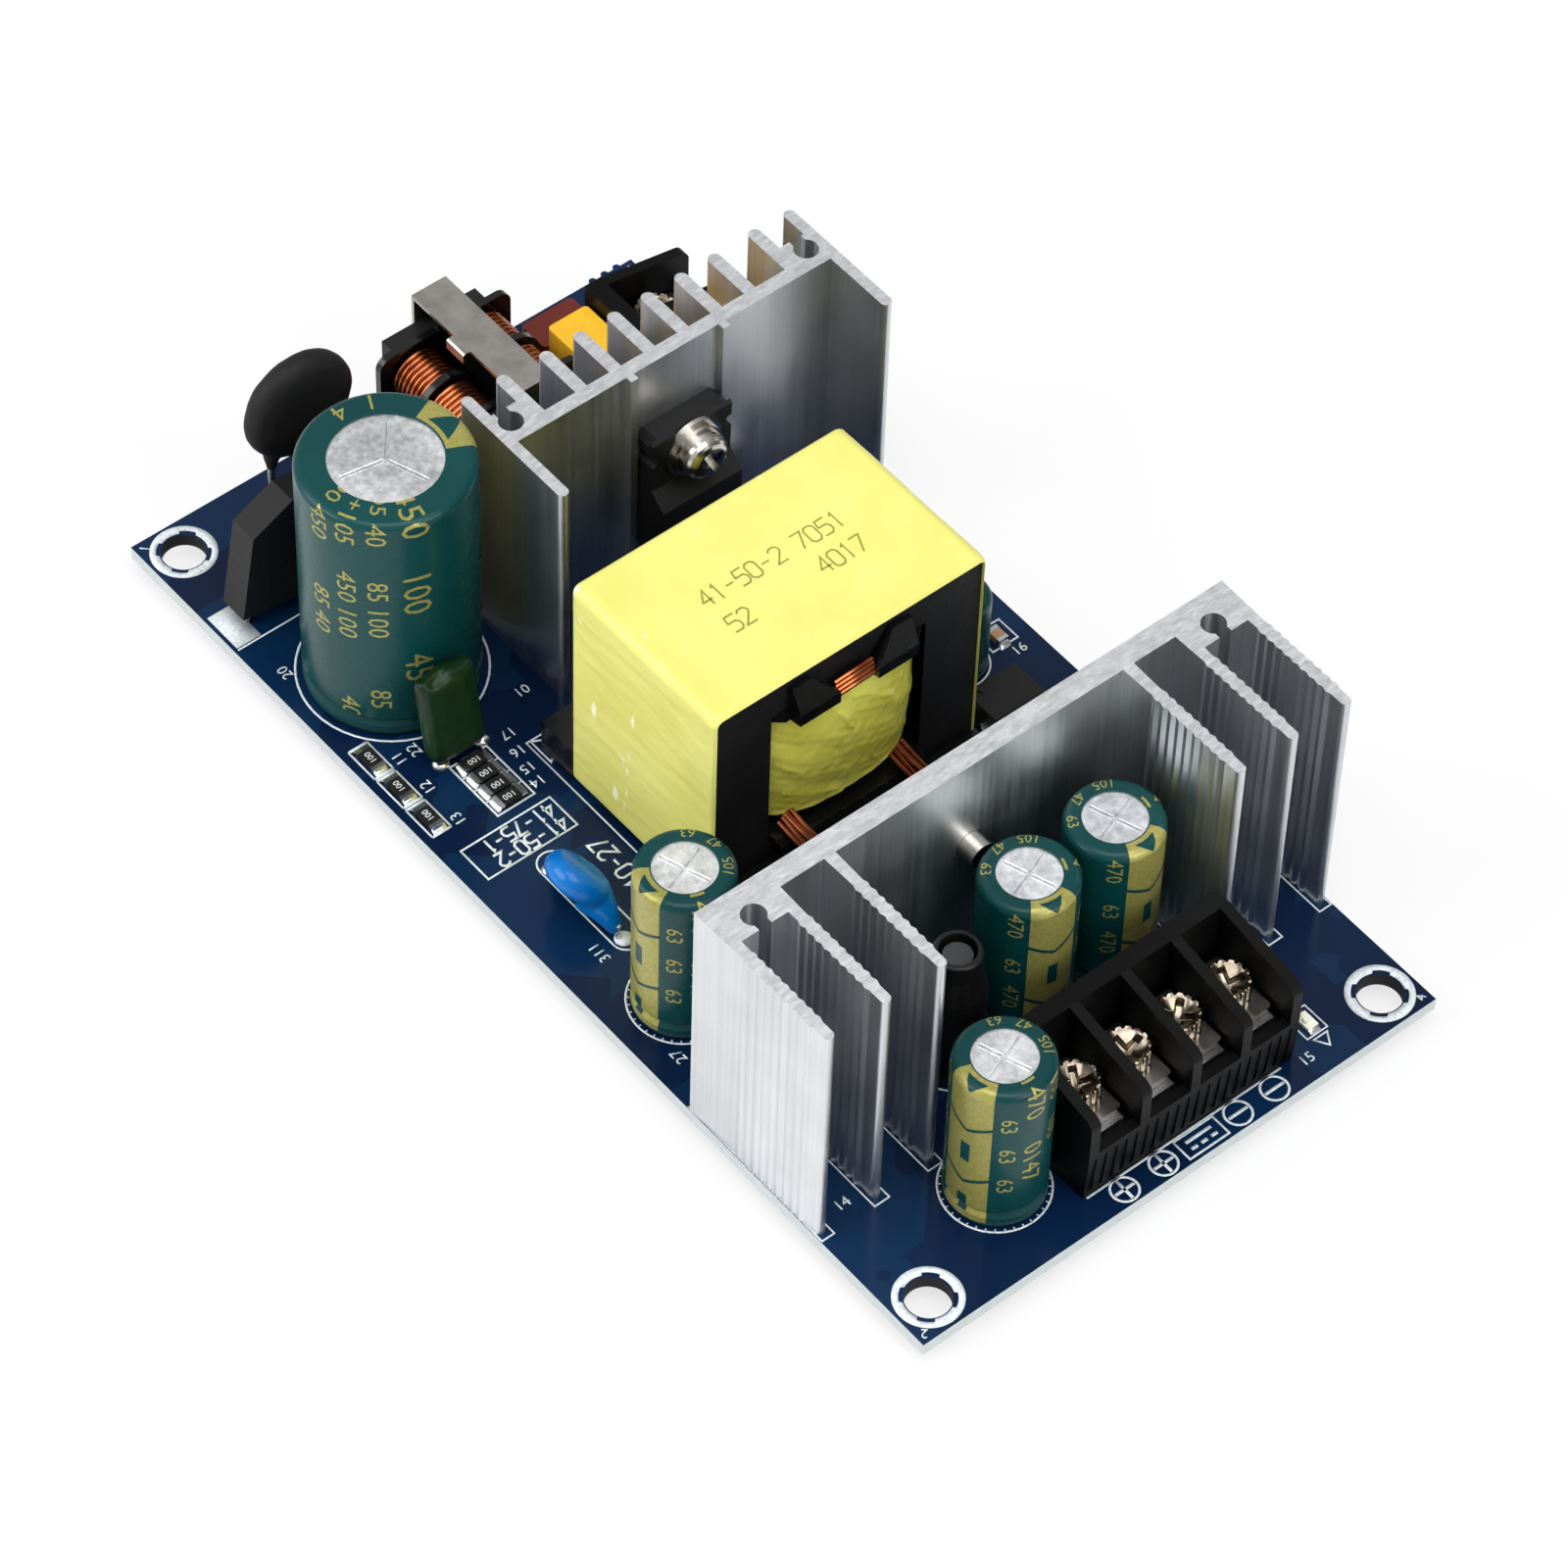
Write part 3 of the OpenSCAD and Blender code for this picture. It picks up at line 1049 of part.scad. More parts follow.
// Rod choke: a sleeve shrunk over the winding and drawn in above it round the rod's bare top
module rod_choke_core() color([0.3, 0.31, 0.32]) on_board(rod_place, 0.6) {
    cylinder(r = rod_r - rod_wall - 0.1, h = 0.8);
    cylinder(r = rod_core_r, h = rod_h - 1.4);
}
module rod_choke_winding() color([0.7, 0.36, 0.18]) on_board(rod_place) difference() {
    translate([0, 0, 1.5]) cylinder(r = rod_r - rod_wall - 0.05, h = rod_winding_top - 1.5);
    cylinder(r = rod_core_r + touch_gap, h = rod_h);
}
module rod_choke_sleeve() color([0.05, 0.05, 0.05]) on_board(rod_place) rotate_extrude() {
    mouth_r = rod_neck_r - 0.6;
    polygon(concat(
        [[rod_r - rod_wall, 0.2], [rod_r, 0.2], [rod_r, rod_winding_top - 0.8], [rod_r - 0.1, rod_winding_top],
            [rod_neck_r + 0.2, rod_winding_top + 1.9], [rod_neck_r, rod_winding_top + 2.9]],
        arc([rod_neck_r - 0.3, rod_h - 0.3], 0.3, 0, 90),
        [[mouth_r, rod_h], [mouth_r, rod_winding_top + 2.7], [mouth_r + 0.2, rod_winding_top + 1.7],
            [rod_r - rod_wall, rod_winding_top]]));
}

// Controller chip on the underside
module controller_chip() color([0.07, 0.07, 0.08]) on_board(controller_place, -board_t - 0.1) mirror([0, 0, 1])
    rounded_box(controller_size, 0.15);
module controller_legs() color([0.72, 0.72, 0.72]) on_board(controller_place, -board_t) mirror([0, 0, 1])
    for (s = [0, 1], i = [-1.5 : 1 : 1.5]) mirror([0, s, 0]) translate([i * controller_pitch - 0.2, controller_size[1] / 2, 0]) {
        cube([0.4, 1.05, 0.2]);
        cube([0.4, 0.3, 0.9]);
    }

circuit_board();
output_heatsink();
input_heatsink();
heatsink_pegs();
transformer_core_lower();
transformer_core_upper();
transformer_bobbin();
transformer_winding();
transformer_tape();
transformer_leads();
transformer_pins();
bulk_capacitor_can();
bulk_capacitor_sleeve();
output_capacitor_cans();
output_capacitor_sleeves();
small_capacitor_cans();
small_capacitor_sleeves();
capacitor_seals();
capacitor_leads();
thermistor_disc();
thermistor_leads();
bridge_rectifier();
bridge_rectifier_leads();
choke_core();
choke_bobbins();
choke_windings();
choke_base();
choke_clip();
choke_pins();
box_capacitor();
box_capacitor_leads();
fuse_body();
fuse_leads();
input_terminal_housing();
output_terminal_housing();
terminal_contacts();
terminal_clamp_plates();
terminal_screws();
film_capacitor();
film_capacitor_leads();
disc_capacitor();
disc_capacitor_leads();
power_transistor();
output_rectifier();
power_package_leads();
power_package_washers();
power_package_screws();
optocoupler();
optocoupler_legs();
chip_resistors();
chip_capacitor();
chip_end_caps();
indicator_lamp();
rod_choke_core();
rod_choke_winding();
rod_choke_sleeve();
controller_chip();
controller_legs();
solder_joints();
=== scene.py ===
"""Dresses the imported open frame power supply: finishes, print, tape, coatings and wire, and a plain studio.

Places are in millimetres from the board's corner at the input end, on its top face: x along the board to the
output end, y across it, z upwards. They are turned into the model's metres when a mesh is made.
"""

from __future__ import annotations

import logging
import math
from dataclasses import dataclass, field
from enum import Enum

import bmesh
import bpy
import numpy as np
from mathutils import Matrix, Vector

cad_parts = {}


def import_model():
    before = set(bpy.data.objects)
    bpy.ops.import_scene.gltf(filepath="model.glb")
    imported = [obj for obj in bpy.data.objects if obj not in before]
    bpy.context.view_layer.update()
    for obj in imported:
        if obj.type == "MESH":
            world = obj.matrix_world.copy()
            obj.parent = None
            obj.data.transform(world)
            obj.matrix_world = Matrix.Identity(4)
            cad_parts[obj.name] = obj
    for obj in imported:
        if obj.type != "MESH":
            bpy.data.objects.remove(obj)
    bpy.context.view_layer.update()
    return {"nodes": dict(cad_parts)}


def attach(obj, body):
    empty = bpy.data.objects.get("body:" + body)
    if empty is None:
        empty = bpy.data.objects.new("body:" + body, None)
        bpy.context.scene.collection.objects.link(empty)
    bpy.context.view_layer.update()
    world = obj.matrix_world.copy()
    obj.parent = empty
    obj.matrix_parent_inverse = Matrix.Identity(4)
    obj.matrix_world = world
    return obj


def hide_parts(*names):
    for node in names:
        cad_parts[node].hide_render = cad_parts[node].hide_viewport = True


MM = 0.001
BOARD = np.array([125.0, 65.0, 1.6])
ORIGIN = np.array([BOARD[0] / 2, BOARD[1] / 2, -BOARD[2]])
TRANSFORMER = (63.0, 32.8)
BULK_CAN = (29.0, 11.3)
OUTPUT_CANS = ((115.2, 17.1), (79.6, 7.85), (100.3, 32.9), (100.25, 43.7))
FEEDBACK_CAN = (63.8, 56.0)
CHIP_ROW = tuple((x, 2.2) for x in (37.4, 42.05, 46.75))
CHIP_COLUMN = tuple((x, 10.0) for x in (44.0, 45.9, 47.8, 49.65))
WINDING_REACH = 12.0
WINDING_POWER = 2.9
GOLD, DARK = 0, 1
LOG = logging.getLogger("power_supply")
Socket = bpy.types.NodeSocket
Material = bpy.types.Material


def srgb(red: float, green: float, blue: float) -> tuple[float, float, float, float]:
    """Turns a colour written in the usual 0 to 255 steps into a linear one with full alpha.

    Args:
        red, green, blue: the colour's parts, 0 to 255.

    Returns:
        The linear colour.
    """
    parts = np.array([red, green, blue]) / 255.0
    linear = np.where(parts <= 0.04045, parts / 12.92, ((parts + 0.055) / 1.055) ** 2.4)
    return (*linear.tolist(), 1.0)


class Network:
    """A tree of shader nodes, written with short calls that each add a node and return an output of it."""

    def __init__(self, owner: Material | bpy.types.World, kind: str) -> None:
        """Empties the tree of a material or a world, and adds its output node of that kind.

        Args:
            owner: the material or world.
            kind: Material or World.
        """
        owner.use_nodes = True
        self.tree = owner.node_tree
        self.tree.nodes.clear()
        self.output = self.tree.nodes.new("ShaderNodeOutput" + kind)

    def fill(self, node: bpy.types.Node, inputs: dict) -> None:
        """Sets or links a node's inputs, each given by its name or number.

        Args:
            node: the node.
            inputs: values or sockets by input name or number.
        """
        for key, value in inputs.items():
            if isinstance(value, Socket):
                self.tree.links.new(value, node.inputs[key])
            else:
                node.inputs[key].default_value = value

    def add(self, kind: str, inputs: dict, output: int | str = 0, **settings: object) -> Socket:
        """Adds a node.

        Args:
            kind: the node's type, without its prefix.
            inputs: values or sockets by input name or number.
            output: the output that is wanted.
            settings: the node's own settings.

        Returns:
            The output socket.
        """
        node = self.tree.nodes.new("ShaderNode" + kind)
        for key, value in settings.items():
            setattr(node, key, value)
        self.fill(node, inputs)
        return node.outputs[output]

    def ramp(self, value: Socket, *stops: tuple, sharp: bool = False) -> Socket:
        """Maps a value to colours or greys.

        Args:
            value: the input.
            stops: pairs of position and colour, or of position and grey level.
            sharp: steps instead of blends.

        Returns:
            The ramp's colour output.
        """
        node = self.add("ValToRGB", {0: value}).node
        node.color_ramp.interpolation = "CONSTANT" if sharp else "LINEAR"
        points = node.color_ramp.elements
        while len(points) < len(stops):
            points.new(0.5)
        for point, (place, shade) in zip(points, stops):
            point.position = place
            point.color = shade if isinstance(shade, tuple) else (shade, shade, shade, 1.0)
        return node.outputs[0]

    def maths(self, operation: str, first: object, second: object = 0.5) -> Socket:
        """One arithmetic step on values."""
        return self.add("Math", {0: first, 1: second}, operation=operation)


class Recipe(Network):
    """The nodes of one material round a principled shader."""

    def __init__(self, name: str) -> None:
        """Starts an empty material of that name with its shader.

        Args:
            name: the material's name.
        """
        self.material = bpy.data.materials.new(name)
        super().__init__(self.material, "Material")
        shader = self.add("BsdfPrincipled", {})
        self.shader = shader.node
        self.fill(self.output, {0: shader})
        self.here = self.add("TexCoord", {}, "Object")

    def stretched(self, x: float, y: float, z: float, turn: float = 0.0) -> Socket:
        """Object coordinates scaled along each axis, after a turn about Z in radians."""
        return self.add("Mapping", {"Vector": self.here, "Scale": (x, y, z), "Rotation": (0.0, 0.0, turn)})

    def noise(self, scale: float, detail: float = 3.0, where: Socket | None = None,
              rough: float = 0.5) -> Socket:
        """Fractal noise, with its scale in cells per metre unless a scaled vector is given."""
        vector = where or self.here
        return self.add("TexNoise", {"Vector": vector, "Scale": scale, "Detail": detail, "Roughness": rough})

    def mix(self, amount: object, first: object, second: object) -> Socket:
        """Mixes two colours by an amount."""
        return self.add("Mix", {0: amount, 6: first, 7: second}, 2, data_type="RGBA")

    def blend(self, share: float, first: Socket, second: Socket) -> Socket:
        """A share of one value and the rest of another, added."""
        rest = self.maths("MULTIPLY", second, 1 - share)
        return self.maths("ADD", self.maths("MULTIPLY", first, share), rest)

    def size_along(self, vector: Socket, axis: str) -> Socket:
        """The size of one part, X, Y or Z, of a vector."""
        return self.maths("ABSOLUTE", self.axis(vector, axis))

    def axis(self, vector: Socket, name: str) -> Socket:
        """One part, X, Y or Z, of a vector."""
        return self.add("SeparateXYZ", {0: vector}, name)

    def normal(self) -> Socket:
        """The surface's own normal."""
        return self.add("NewGeometry", {}, "Normal")

    def relief(self, height: Socket, depth_mm: float, strength: float = 1.0,
               under: Socket | None = None) -> Socket:
        """Bump from a height between 0 and 1.

        Args:
            height: the height.
            depth_mm: what a height of 1 stands for, in millimetres.
            strength: how much of the bump shows.
            under: a normal that this bump is laid on.

        Returns:
            The bumped normal.
        """
        inputs = {"Height": height, "Distance": depth_mm * MM, "Strength": strength}
        if under is not None:
            inputs["Normal"] = under
        return self.add("Bump", inputs)

    def finish(self, **values: object) -> Material:
        """Sets or links the shader's sockets, named with underscores for spaces, and returns the material."""
        self.fill(self.shader, {key.replace("_", " "): value for key, value in values.items()})
        return self.material


@dataclass(frozen=True)
class SolderMask:
    """Glossy blue mask over copper areas, with the pale cut edge of the laminate, and painted shade on the
    walls of the holes.
    """

    name: str = "solder_mask"
    bare: tuple = (6, 21, 50)
    over_copper: tuple = (8, 35, 66)
    paler: tuple = (8, 50, 84)
    fibre: tuple = (184, 191, 193)
    laminate: tuple = (200, 207, 208)
    # near-black painted shade for the walls of the holes, which are really the pale laminate
    painted_hole_shade: tuple = (40, 40, 44)

    def make(self) -> Material:
        """Builds the material.

        Returns:
            The material.
        """
        recipe = Recipe(self.name)
        cells, small = (
            recipe.add("TexVoronoi", {"Vector": recipe.stretched(1, 1, 0.001, turn), "Scale": scale}, "Color",
                       distance="CHEBYCHEV") for turn, scale in ((0.0, 62.0), (0.785, 140.0)))
        areas = recipe.ramp(recipe.axis(cells, "X"), (0.0, 0.0), (0.3, 1.0), sharp=True)
        islands = recipe.ramp(recipe.axis(small, "Y"), (0.0, 1.0), (0.8, 0.0), sharp=True)
        copper = recipe.maths("MULTIPLY", areas, islands)
        tint = recipe.ramp(recipe.noise(45.0, 2.0), (0.3, 0.0), (0.75, 1.0))
        mask = recipe.mix(copper, srgb(*self.bare), srgb(*self.over_copper))
        mask = recipe.mix(recipe.maths("MULTIPLY", tint, 0.3), mask, srgb(*self.paler))
        fibre = recipe.ramp(recipe.noise(900.0, 4.0, recipe.stretched(1, 1, 6)), (0.3, srgb(*self.fibre)),
                            (0.7, srgb(*self.laminate)))
        shares = [recipe.maths("DIVIDE", recipe.size_along(recipe.here, axis), BOARD[k] / 2 * MM)
                  for k, axis in enumerate("XY")]
        rim = recipe.maths("MAXIMUM", *shares)
        # side faces inside the board (the hole walls) get the painted shade; the outer edges get the pale
        # laminate
        edge = recipe.mix(recipe.maths("GREATER_THAN", rim, 0.99), srgb(*self.painted_hole_shade), fibre)
        flat = recipe.maths("GREATER_THAN", recipe.size_along(recipe.normal(), "Z"), 0.6)
        peel = recipe.relief(recipe.noise(260.0, 2.0), 0.02, 0.5)
        return recipe.finish(
            Base_Color=recipe.mix(flat, edge, mask),
            Roughness=recipe.ramp(flat, (0.0, 0.7), (1.0, 0.2)),
            Normal=recipe.relief(copper, 0.035, 0.7, peel),
            Specular_IOR_Level=0.16,
            Coat_Weight=0.04,
            Coat_Roughness=0.06,
        )


@dataclass(frozen=True)
class Ink:
    """Printed ink, a little uneven."""

    name: str
    colour: tuple
    rough: float = 0.5
    metallic: float = 0.0
    worn: tuple = (0.86, 0.88, 0.9)

    def make(self) -> Material:
        """Builds the material.

        Returns:
            The material.
        """
        recipe = Recipe(self.name)
        worn = srgb(*(part * share for part, share in zip(self.colour, self.worn)))
        return recipe.finish(
            Base_Color=recipe.ramp(recipe.noise(2600.0, 3.0), (0.3, worn), (0.62, srgb(*self.colour))),
            Roughness=self.rough,
            Metallic=self.metallic,
            Specular_IOR_Level=0.3,
            Normal=recipe.relief(recipe.noise(3000.0, 2.0), 0.01, 0.5),
        )


class Grain(Enum):
    """How a metal's marks run: cells per metre along each axis."""

    DRAWN = (2500.0, 2500.0, 20.0)
    PLATED = (420.0, 420.0, 420.0)
    ETCHED = (1300.0, 1300.0, 1300.0)


@dataclass(frozen=True)
class Metal:
    """Bare metal with drawn or etched marks, dull blotches, and sawn ends where it is an extrusion."""

    name: str
    dark: tuple
    light: tuple
    smooth: float
    dull: float
    marks_mm: float = 0.012
    grain: Grain = Grain.PLATED
    sawn: bool = False
    sawn_dark: tuple = (205, 207, 211)
    sawn_light: tuple = (240, 241, 243)

    def make(self) -> Material:
        """Builds the material.

        Returns:
            The material.
        """
        recipe = Recipe(self.name)
        streak = recipe.noise(1.0, 5.0, recipe.stretched(*self.grain.value), 0.6)
        cloud = recipe.noise(120.0, 3.0)
        shade = recipe.ramp(recipe.blend(0.6, streak, cloud), (0.34, srgb(*self.dark)),
                            (0.62, srgb(*self.light)))
        rough = recipe.ramp(recipe.blend(0.5, streak, cloud), (0.3, self.smooth), (0.7, self.dull))
        normal = recipe.relief(streak, self.marks_mm, 0.6)
        if self.sawn:
            cut = recipe.maths("GREATER_THAN", recipe.axis(recipe.normal(), "Z"), 0.7)
            speck = recipe.noise(1.0, 4.0, recipe.stretched(2600.0, 700.0, 50.0, 0.5), 0.7)
            bright = recipe.ramp(speck, (0.3, srgb(*self.sawn_dark)), (0.7, srgb(*self.sawn_light)))
            shade = recipe.mix(cut, shade, bright)
            rough = recipe.mix(cut, rough, recipe.ramp(speck, (0.3, 0.34), (0.7, 0.5)))
            normal = recipe.relief(recipe.maths("MULTIPLY", speck, cut), 0.04, 0.8, normal)
        return recipe.finish(Base_Color=shade, Metallic=1.0, Roughness=rough, Normal=normal)


@dataclass(frozen=True)
class Plastic:
    """Moulded or dipped material with a fine surface and slow changes of tone."""

    name: str
    colour: tuple
    second: tuple
    rough: float
    grain: float = 1500.0
    depth_mm: float = 0.02
    shine: float = 0.28
    coat: float = 0.0
    tone: float = 160.0
    spread: float = 0.08

    def make(self) -> Material:
        """Builds the material.

        Returns:
            The material.
        """
        recipe = Recipe(self.name)
        slow = recipe.noise(self.tone, 3.0)
        fine = recipe.noise(self.grain, 3.0)
        if self.depth_mm:
            swell = recipe.relief(slow, self.depth_mm * 3.0, 0.4)
            recipe.finish(Normal=recipe.relief(fine, self.depth_mm, 0.5, swell))
        return recipe.finish(
            Base_Color=recipe.ramp(slow, (0.3, srgb(*self.colour)), (0.7, srgb(*self.second))),
            Roughness=recipe.ramp(fine, (0.3, self.rough), (0.7, min(1.0, self.rough + self.spread))),
            Specular_IOR_Level=self.shine,
            Coat_Weight=self.coat,
            Coat_Roughness=0.08,
        )


@dataclass(frozen=True)
class PairedSleeve:
    """Shrink sleeve film of two colours, changing at a place along the board."""

    name: str = "small_sleeves"
    west: tuple = (12, 13, 15)
    east: tuple = (10, 56, 54)
    change_m: float = -0.012

    def make(self) -> Material:
        """Builds the material.

        Returns:
            The material.
        """
        recipe = Recipe(self.name)
        past = recipe.maths("GREATER_THAN", recipe.axis(recipe.here, "X"), self.change_m)
        fine = recipe.noise(900.0, 3.0)
        return recipe.finish(
            Base_Color=recipe.mix(past, srgb(*self.west), srgb(*self.east)),
            Roughness=recipe.ramp(fine, (0.3, 0.26), (0.7, 0.34)),
            Normal=recipe.relief(fine, 0.006, 0.4),
            Specular_IOR_Level=0.27,
        )


@dataclass(frozen=True)
class TapeFilm:
    """Polyester tape: glossy film with fine creases both ways, and pale specks painted on as highlights of
    the creases.
    """

    name: str
    pale: tuple
    deep: tuple
    crease_mm: float
    crease: tuple = (260.0, 60.0, 60.0)
    rough: float = 0.3
    painted_glints: bool = False
    glint_colour: tuple = (250, 250, 222)

    def make(self) -> Material:
        """Builds the material.

        Returns:
            The material.
        """
        recipe = Recipe(self.name)
        slow = recipe.noise(110.0, 3.0)
        folds = recipe.noise(1.0, 4.0, recipe.stretched(*self.crease), 0.6)
        film = recipe.ramp(slow, (0.32, srgb(*self.deep)), (0.68, srgb(*self.pale)))
        # near-white specks painted into the colour as highlights on the creases
        if self.painted_glints:
            glint_spot = recipe.noise(1.0, 2.0, recipe.stretched(520.0, 520.0, 190.0), 0.4)
            film = recipe.mix(recipe.ramp(glint_spot, (0.71, 0.0), (0.76, 0.75)), film, srgb(*self.glint_colour))
        skin = recipe.relief(recipe.noise(1400.0, 2.0), 0.01, 0.3)
        return recipe.finish(
            Base_Color=film,
            Roughness=recipe.ramp(folds, (0.3, self.rough), (0.7, self.rough + 0.14)),
            Normal=recipe.relief(folds, self.crease_mm, 0.55, skin),
            Specular_IOR_Level=0.35,
            Coat_Weight=0.12,
            Coat_Roughness=0.15,
        )


FINISHES = (
    SolderMask(),
    Ink("white_print", (226, 232, 234)),
    Ink("gold_print", (164, 157, 84), 0.3, 0.3),
    Ink("faded_print", (146, 144, 66)),
    Metal("extruded_aluminium", (196, 198, 201), (216, 218, 221), 0.3, 0.44, 0.004, Grain.DRAWN, True),
    Metal("etched_aluminium", (184, 186, 188), (238, 240, 242), 0.36, 0.56, 0.03, Grain.ETCHED),
    Metal("nickel_plate", (168, 163, 154), (214, 210, 201), 0.12, 0.26),
    Metal("bowl_nickel", (98, 86, 70), (168, 158, 143), 0.16, 0.3, 0.03),
    Metal("spring_steel", (152, 147, 141), (184, 180, 174), 0.2, 0.34, 0.006),
    Metal("tinned_wire", (168, 169, 172), (206, 207, 209), 0.18, 0.32),
    Metal("bright_solder", (176, 178, 182), (220, 221, 223), 0.12, 0.24, 0.05),
    Metal("enamelled_copper", (142, 74, 42), (206, 124, 80), 0.2, 0.34),
    TapeFilm("yellow_tape", (225, 222, 124), (216, 212, 110), 0.05, painted_glints=True),
    TapeFilm("crinkled_tape", (248, 246, 112), (222, 216, 80), 0.32, (300.0, 300.0, 90.0), 0.22),
    Plastic("teal_sleeve", (6, 56, 58), (9, 66, 66), 0.26, 300.0, 0.0, 0.22, tone=60.0, spread=0.03),
    PairedSleeve(),
    Plastic("ferrite", (17, 17, 18), (26, 26, 28), 0.5, 1800.0, 0.05),
    Plastic("bobbin_resin", (9, 9, 10), (14, 14, 15), 0.2, 1200.0, 0.002, 0.4),
    Plastic("package_resin", (14, 14, 15), (22, 22, 23), 0.46, 2600.0, 0.03),
    Plastic("terminal_resin", (5, 5, 6), (9, 9, 10), 0.4, 1700.0, 0.02, 0.12),
    Plastic("seal_rubber", (22, 22, 23), (32, 32, 34), 0.7),
    Plastic("black_coat", (16, 16, 17), (24, 24, 26), 0.62, 1500.0, 0.04),
    Plastic("blue_coat", (2, 98, 178), (6, 120, 200), 0.2, 500.0, 0.01, 0.2, 0.15),
    Plastic("green_coat", (9, 28, 12), (18, 50, 22), 0.28, 300.0, 0.004, 0.2, 0.04),
    Plastic("orange_box", (238, 182, 38), (246, 196, 58), 0.32),
    Plastic("fuse_resin", (98, 34, 27), (114, 44, 35), 0.34),
    Plastic("chip_ceramic", (150, 120, 88), (170, 138, 104), 0.5),
    Plastic("lamp_resin", (236, 236, 222), (248, 246, 232), 0.25),
    Plastic("black_shrink", (12, 12, 13), (19, 19, 20), 0.34, 700.0, 0.03),
    Plastic("grey_core", (52, 53, 54), (70, 71, 72), 0.5),
)
NODE_FINISHES = {
    "solder_mask": ("circuit_board",),
    "extruded_aluminium": ("output_heatsink", "input_heatsink"),
    "etched_aluminium": ("bulk_capacitor_can", "output_capacitor_cans", "small_capacitor_cans"),
    "nickel_plate": (
        "terminal_screws", "terminal_clamp_plates", "power_package_screws", "power_package_washers"),
    "spring_steel": ("choke_clip",),
    "tinned_wire": (
        "heatsink_pegs", "transformer_pins", "capacitor_leads", "thermistor_leads", "bridge_rectifier_leads",
        "choke_pins", "box_capacitor_leads", "fuse_leads", "terminal_contacts", "film_capacitor_leads",
        "disc_capacitor_leads", "power_package_leads", "optocoupler_legs", "controller_legs"),
    "bright_solder": ("solder_joints", "chip_end_caps"),
    "enamelled_copper": ("choke_windings", "rod_choke_winding"),
    "teal_sleeve": ("bulk_capacitor_sleeve", "output_capacitor_sleeves"),
    "small_sleeves": ("small_capacitor_sleeves",),
    "ferrite": ("transformer_core_lower", "transformer_core_upper", "choke_core"),
    "bobbin_resin": ("transformer_bobbin", "choke_bobbins", "choke_base"),
    "package_resin": (
        "power_transistor", "output_rectifier", "bridge_rectifier", "optocoupler", "controller_chip",
        "chip_resistors"),
    "terminal_resin": ("input_terminal_housing", "output_terminal_housing"),
    "seal_rubber": ("capacitor_seals",),
    "orange_box": ("box_capacitor",),
    "fuse_resin": ("fuse_body",),
    "chip_ceramic": ("chip_capacitor",),
    "lamp_resin": ("indicator_lamp",),
    "black_shrink": ("rod_choke_sleeve",),
    "grey_core": ("rod_choke_core",),
}


def placed(name: str, data: bpy.types.ID) -> bpy.types.Object:
    """Makes an object of its data and links it to the scene.

    Args:
        name: its name.
        data: its mesh, text, camera or light.

    Returns:
        The linked object.
    """
    thing = bpy.data.objects.new(name, data)
    bpy.context.scene.collection.objects.link(thing)
    return thing


def shown(thing: bpy.types.Object) -> bpy.types.Mesh:
    """A new mesh of what an object shows, with its modifiers applied."""
    return bpy.data.meshes.new_from_object(thing.evaluated_get(bpy.context.evaluated_depsgraph_get()))


def turned(points: np.ndarray, degrees: float, first: int = 0, second: int = 1) -> np.ndarray:
    """Turns points through the origin.

    Args:
        points: places, with a last axis of 2 or 3.
        degrees: the angle.
        first, second: the axes of the plane, turned from the first towards the second.

    Returns:
        The turned points.
    """
    a = math.radians(degrees)
    matrix = np.eye(points.shape[-1])
    matrix[first, first] = matrix[second, second] = math.cos(a)
    matrix[first, second] = math.sin(a)
    matrix[second, first] = -math.sin(a)
    return points @ matrix


def round_axis(centre: tuple, radius: object, turn: np.ndarray, height: object) -> np.ndarray:
    """Points round an upright axis: centre + radius (cos turn, sin turn), each at its height.

    Args:
        centre: the axis's place.
        radius: distances from it.
        turn: angles in radians.
        height: heights.

    Returns:
        Points, with a last axis of 3.
    """
    x = centre[0] + radius * np.cos(turn)
    y = centre[1] + radius * np.sin(turn)
    return np.stack(np.broadcast_arrays(x, y, height), axis=-1)


def full_turn(steps: int) -> np.ndarray:
    """Even steps round a circle, in radians."""
    return np.linspace(0, 2 * np.pi, steps, endpoint=False)


def across_path(path: np.ndarray, hint: tuple) -> tuple[np.ndarray, np.ndarray]:
    """Two unit directions square to a path at each of its points, the first also square to a hint.

    Args:
        path: an array of n by 3.
        hint: a direction that the path never takes.

    Returns:
        Two arrays of n by 3.
    """
    along = np.gradient(path, axis=0)
    along /= np.linalg.norm(along, axis=1)[:, None]
    side = np.cross(along, np.array(hint))
    side /= np.linalg.norm(side, axis=1)[:, None]
    return side, np.cross(side, along)


def near_edge(distance: np.ndarray, half: float, width: float) -> np.ndarray:
    """0 on the middle of a band, rising evenly to 1 over a width at each of its edges."""
    return np.clip((np.abs(distance) - half + width) / width, 0, 1)


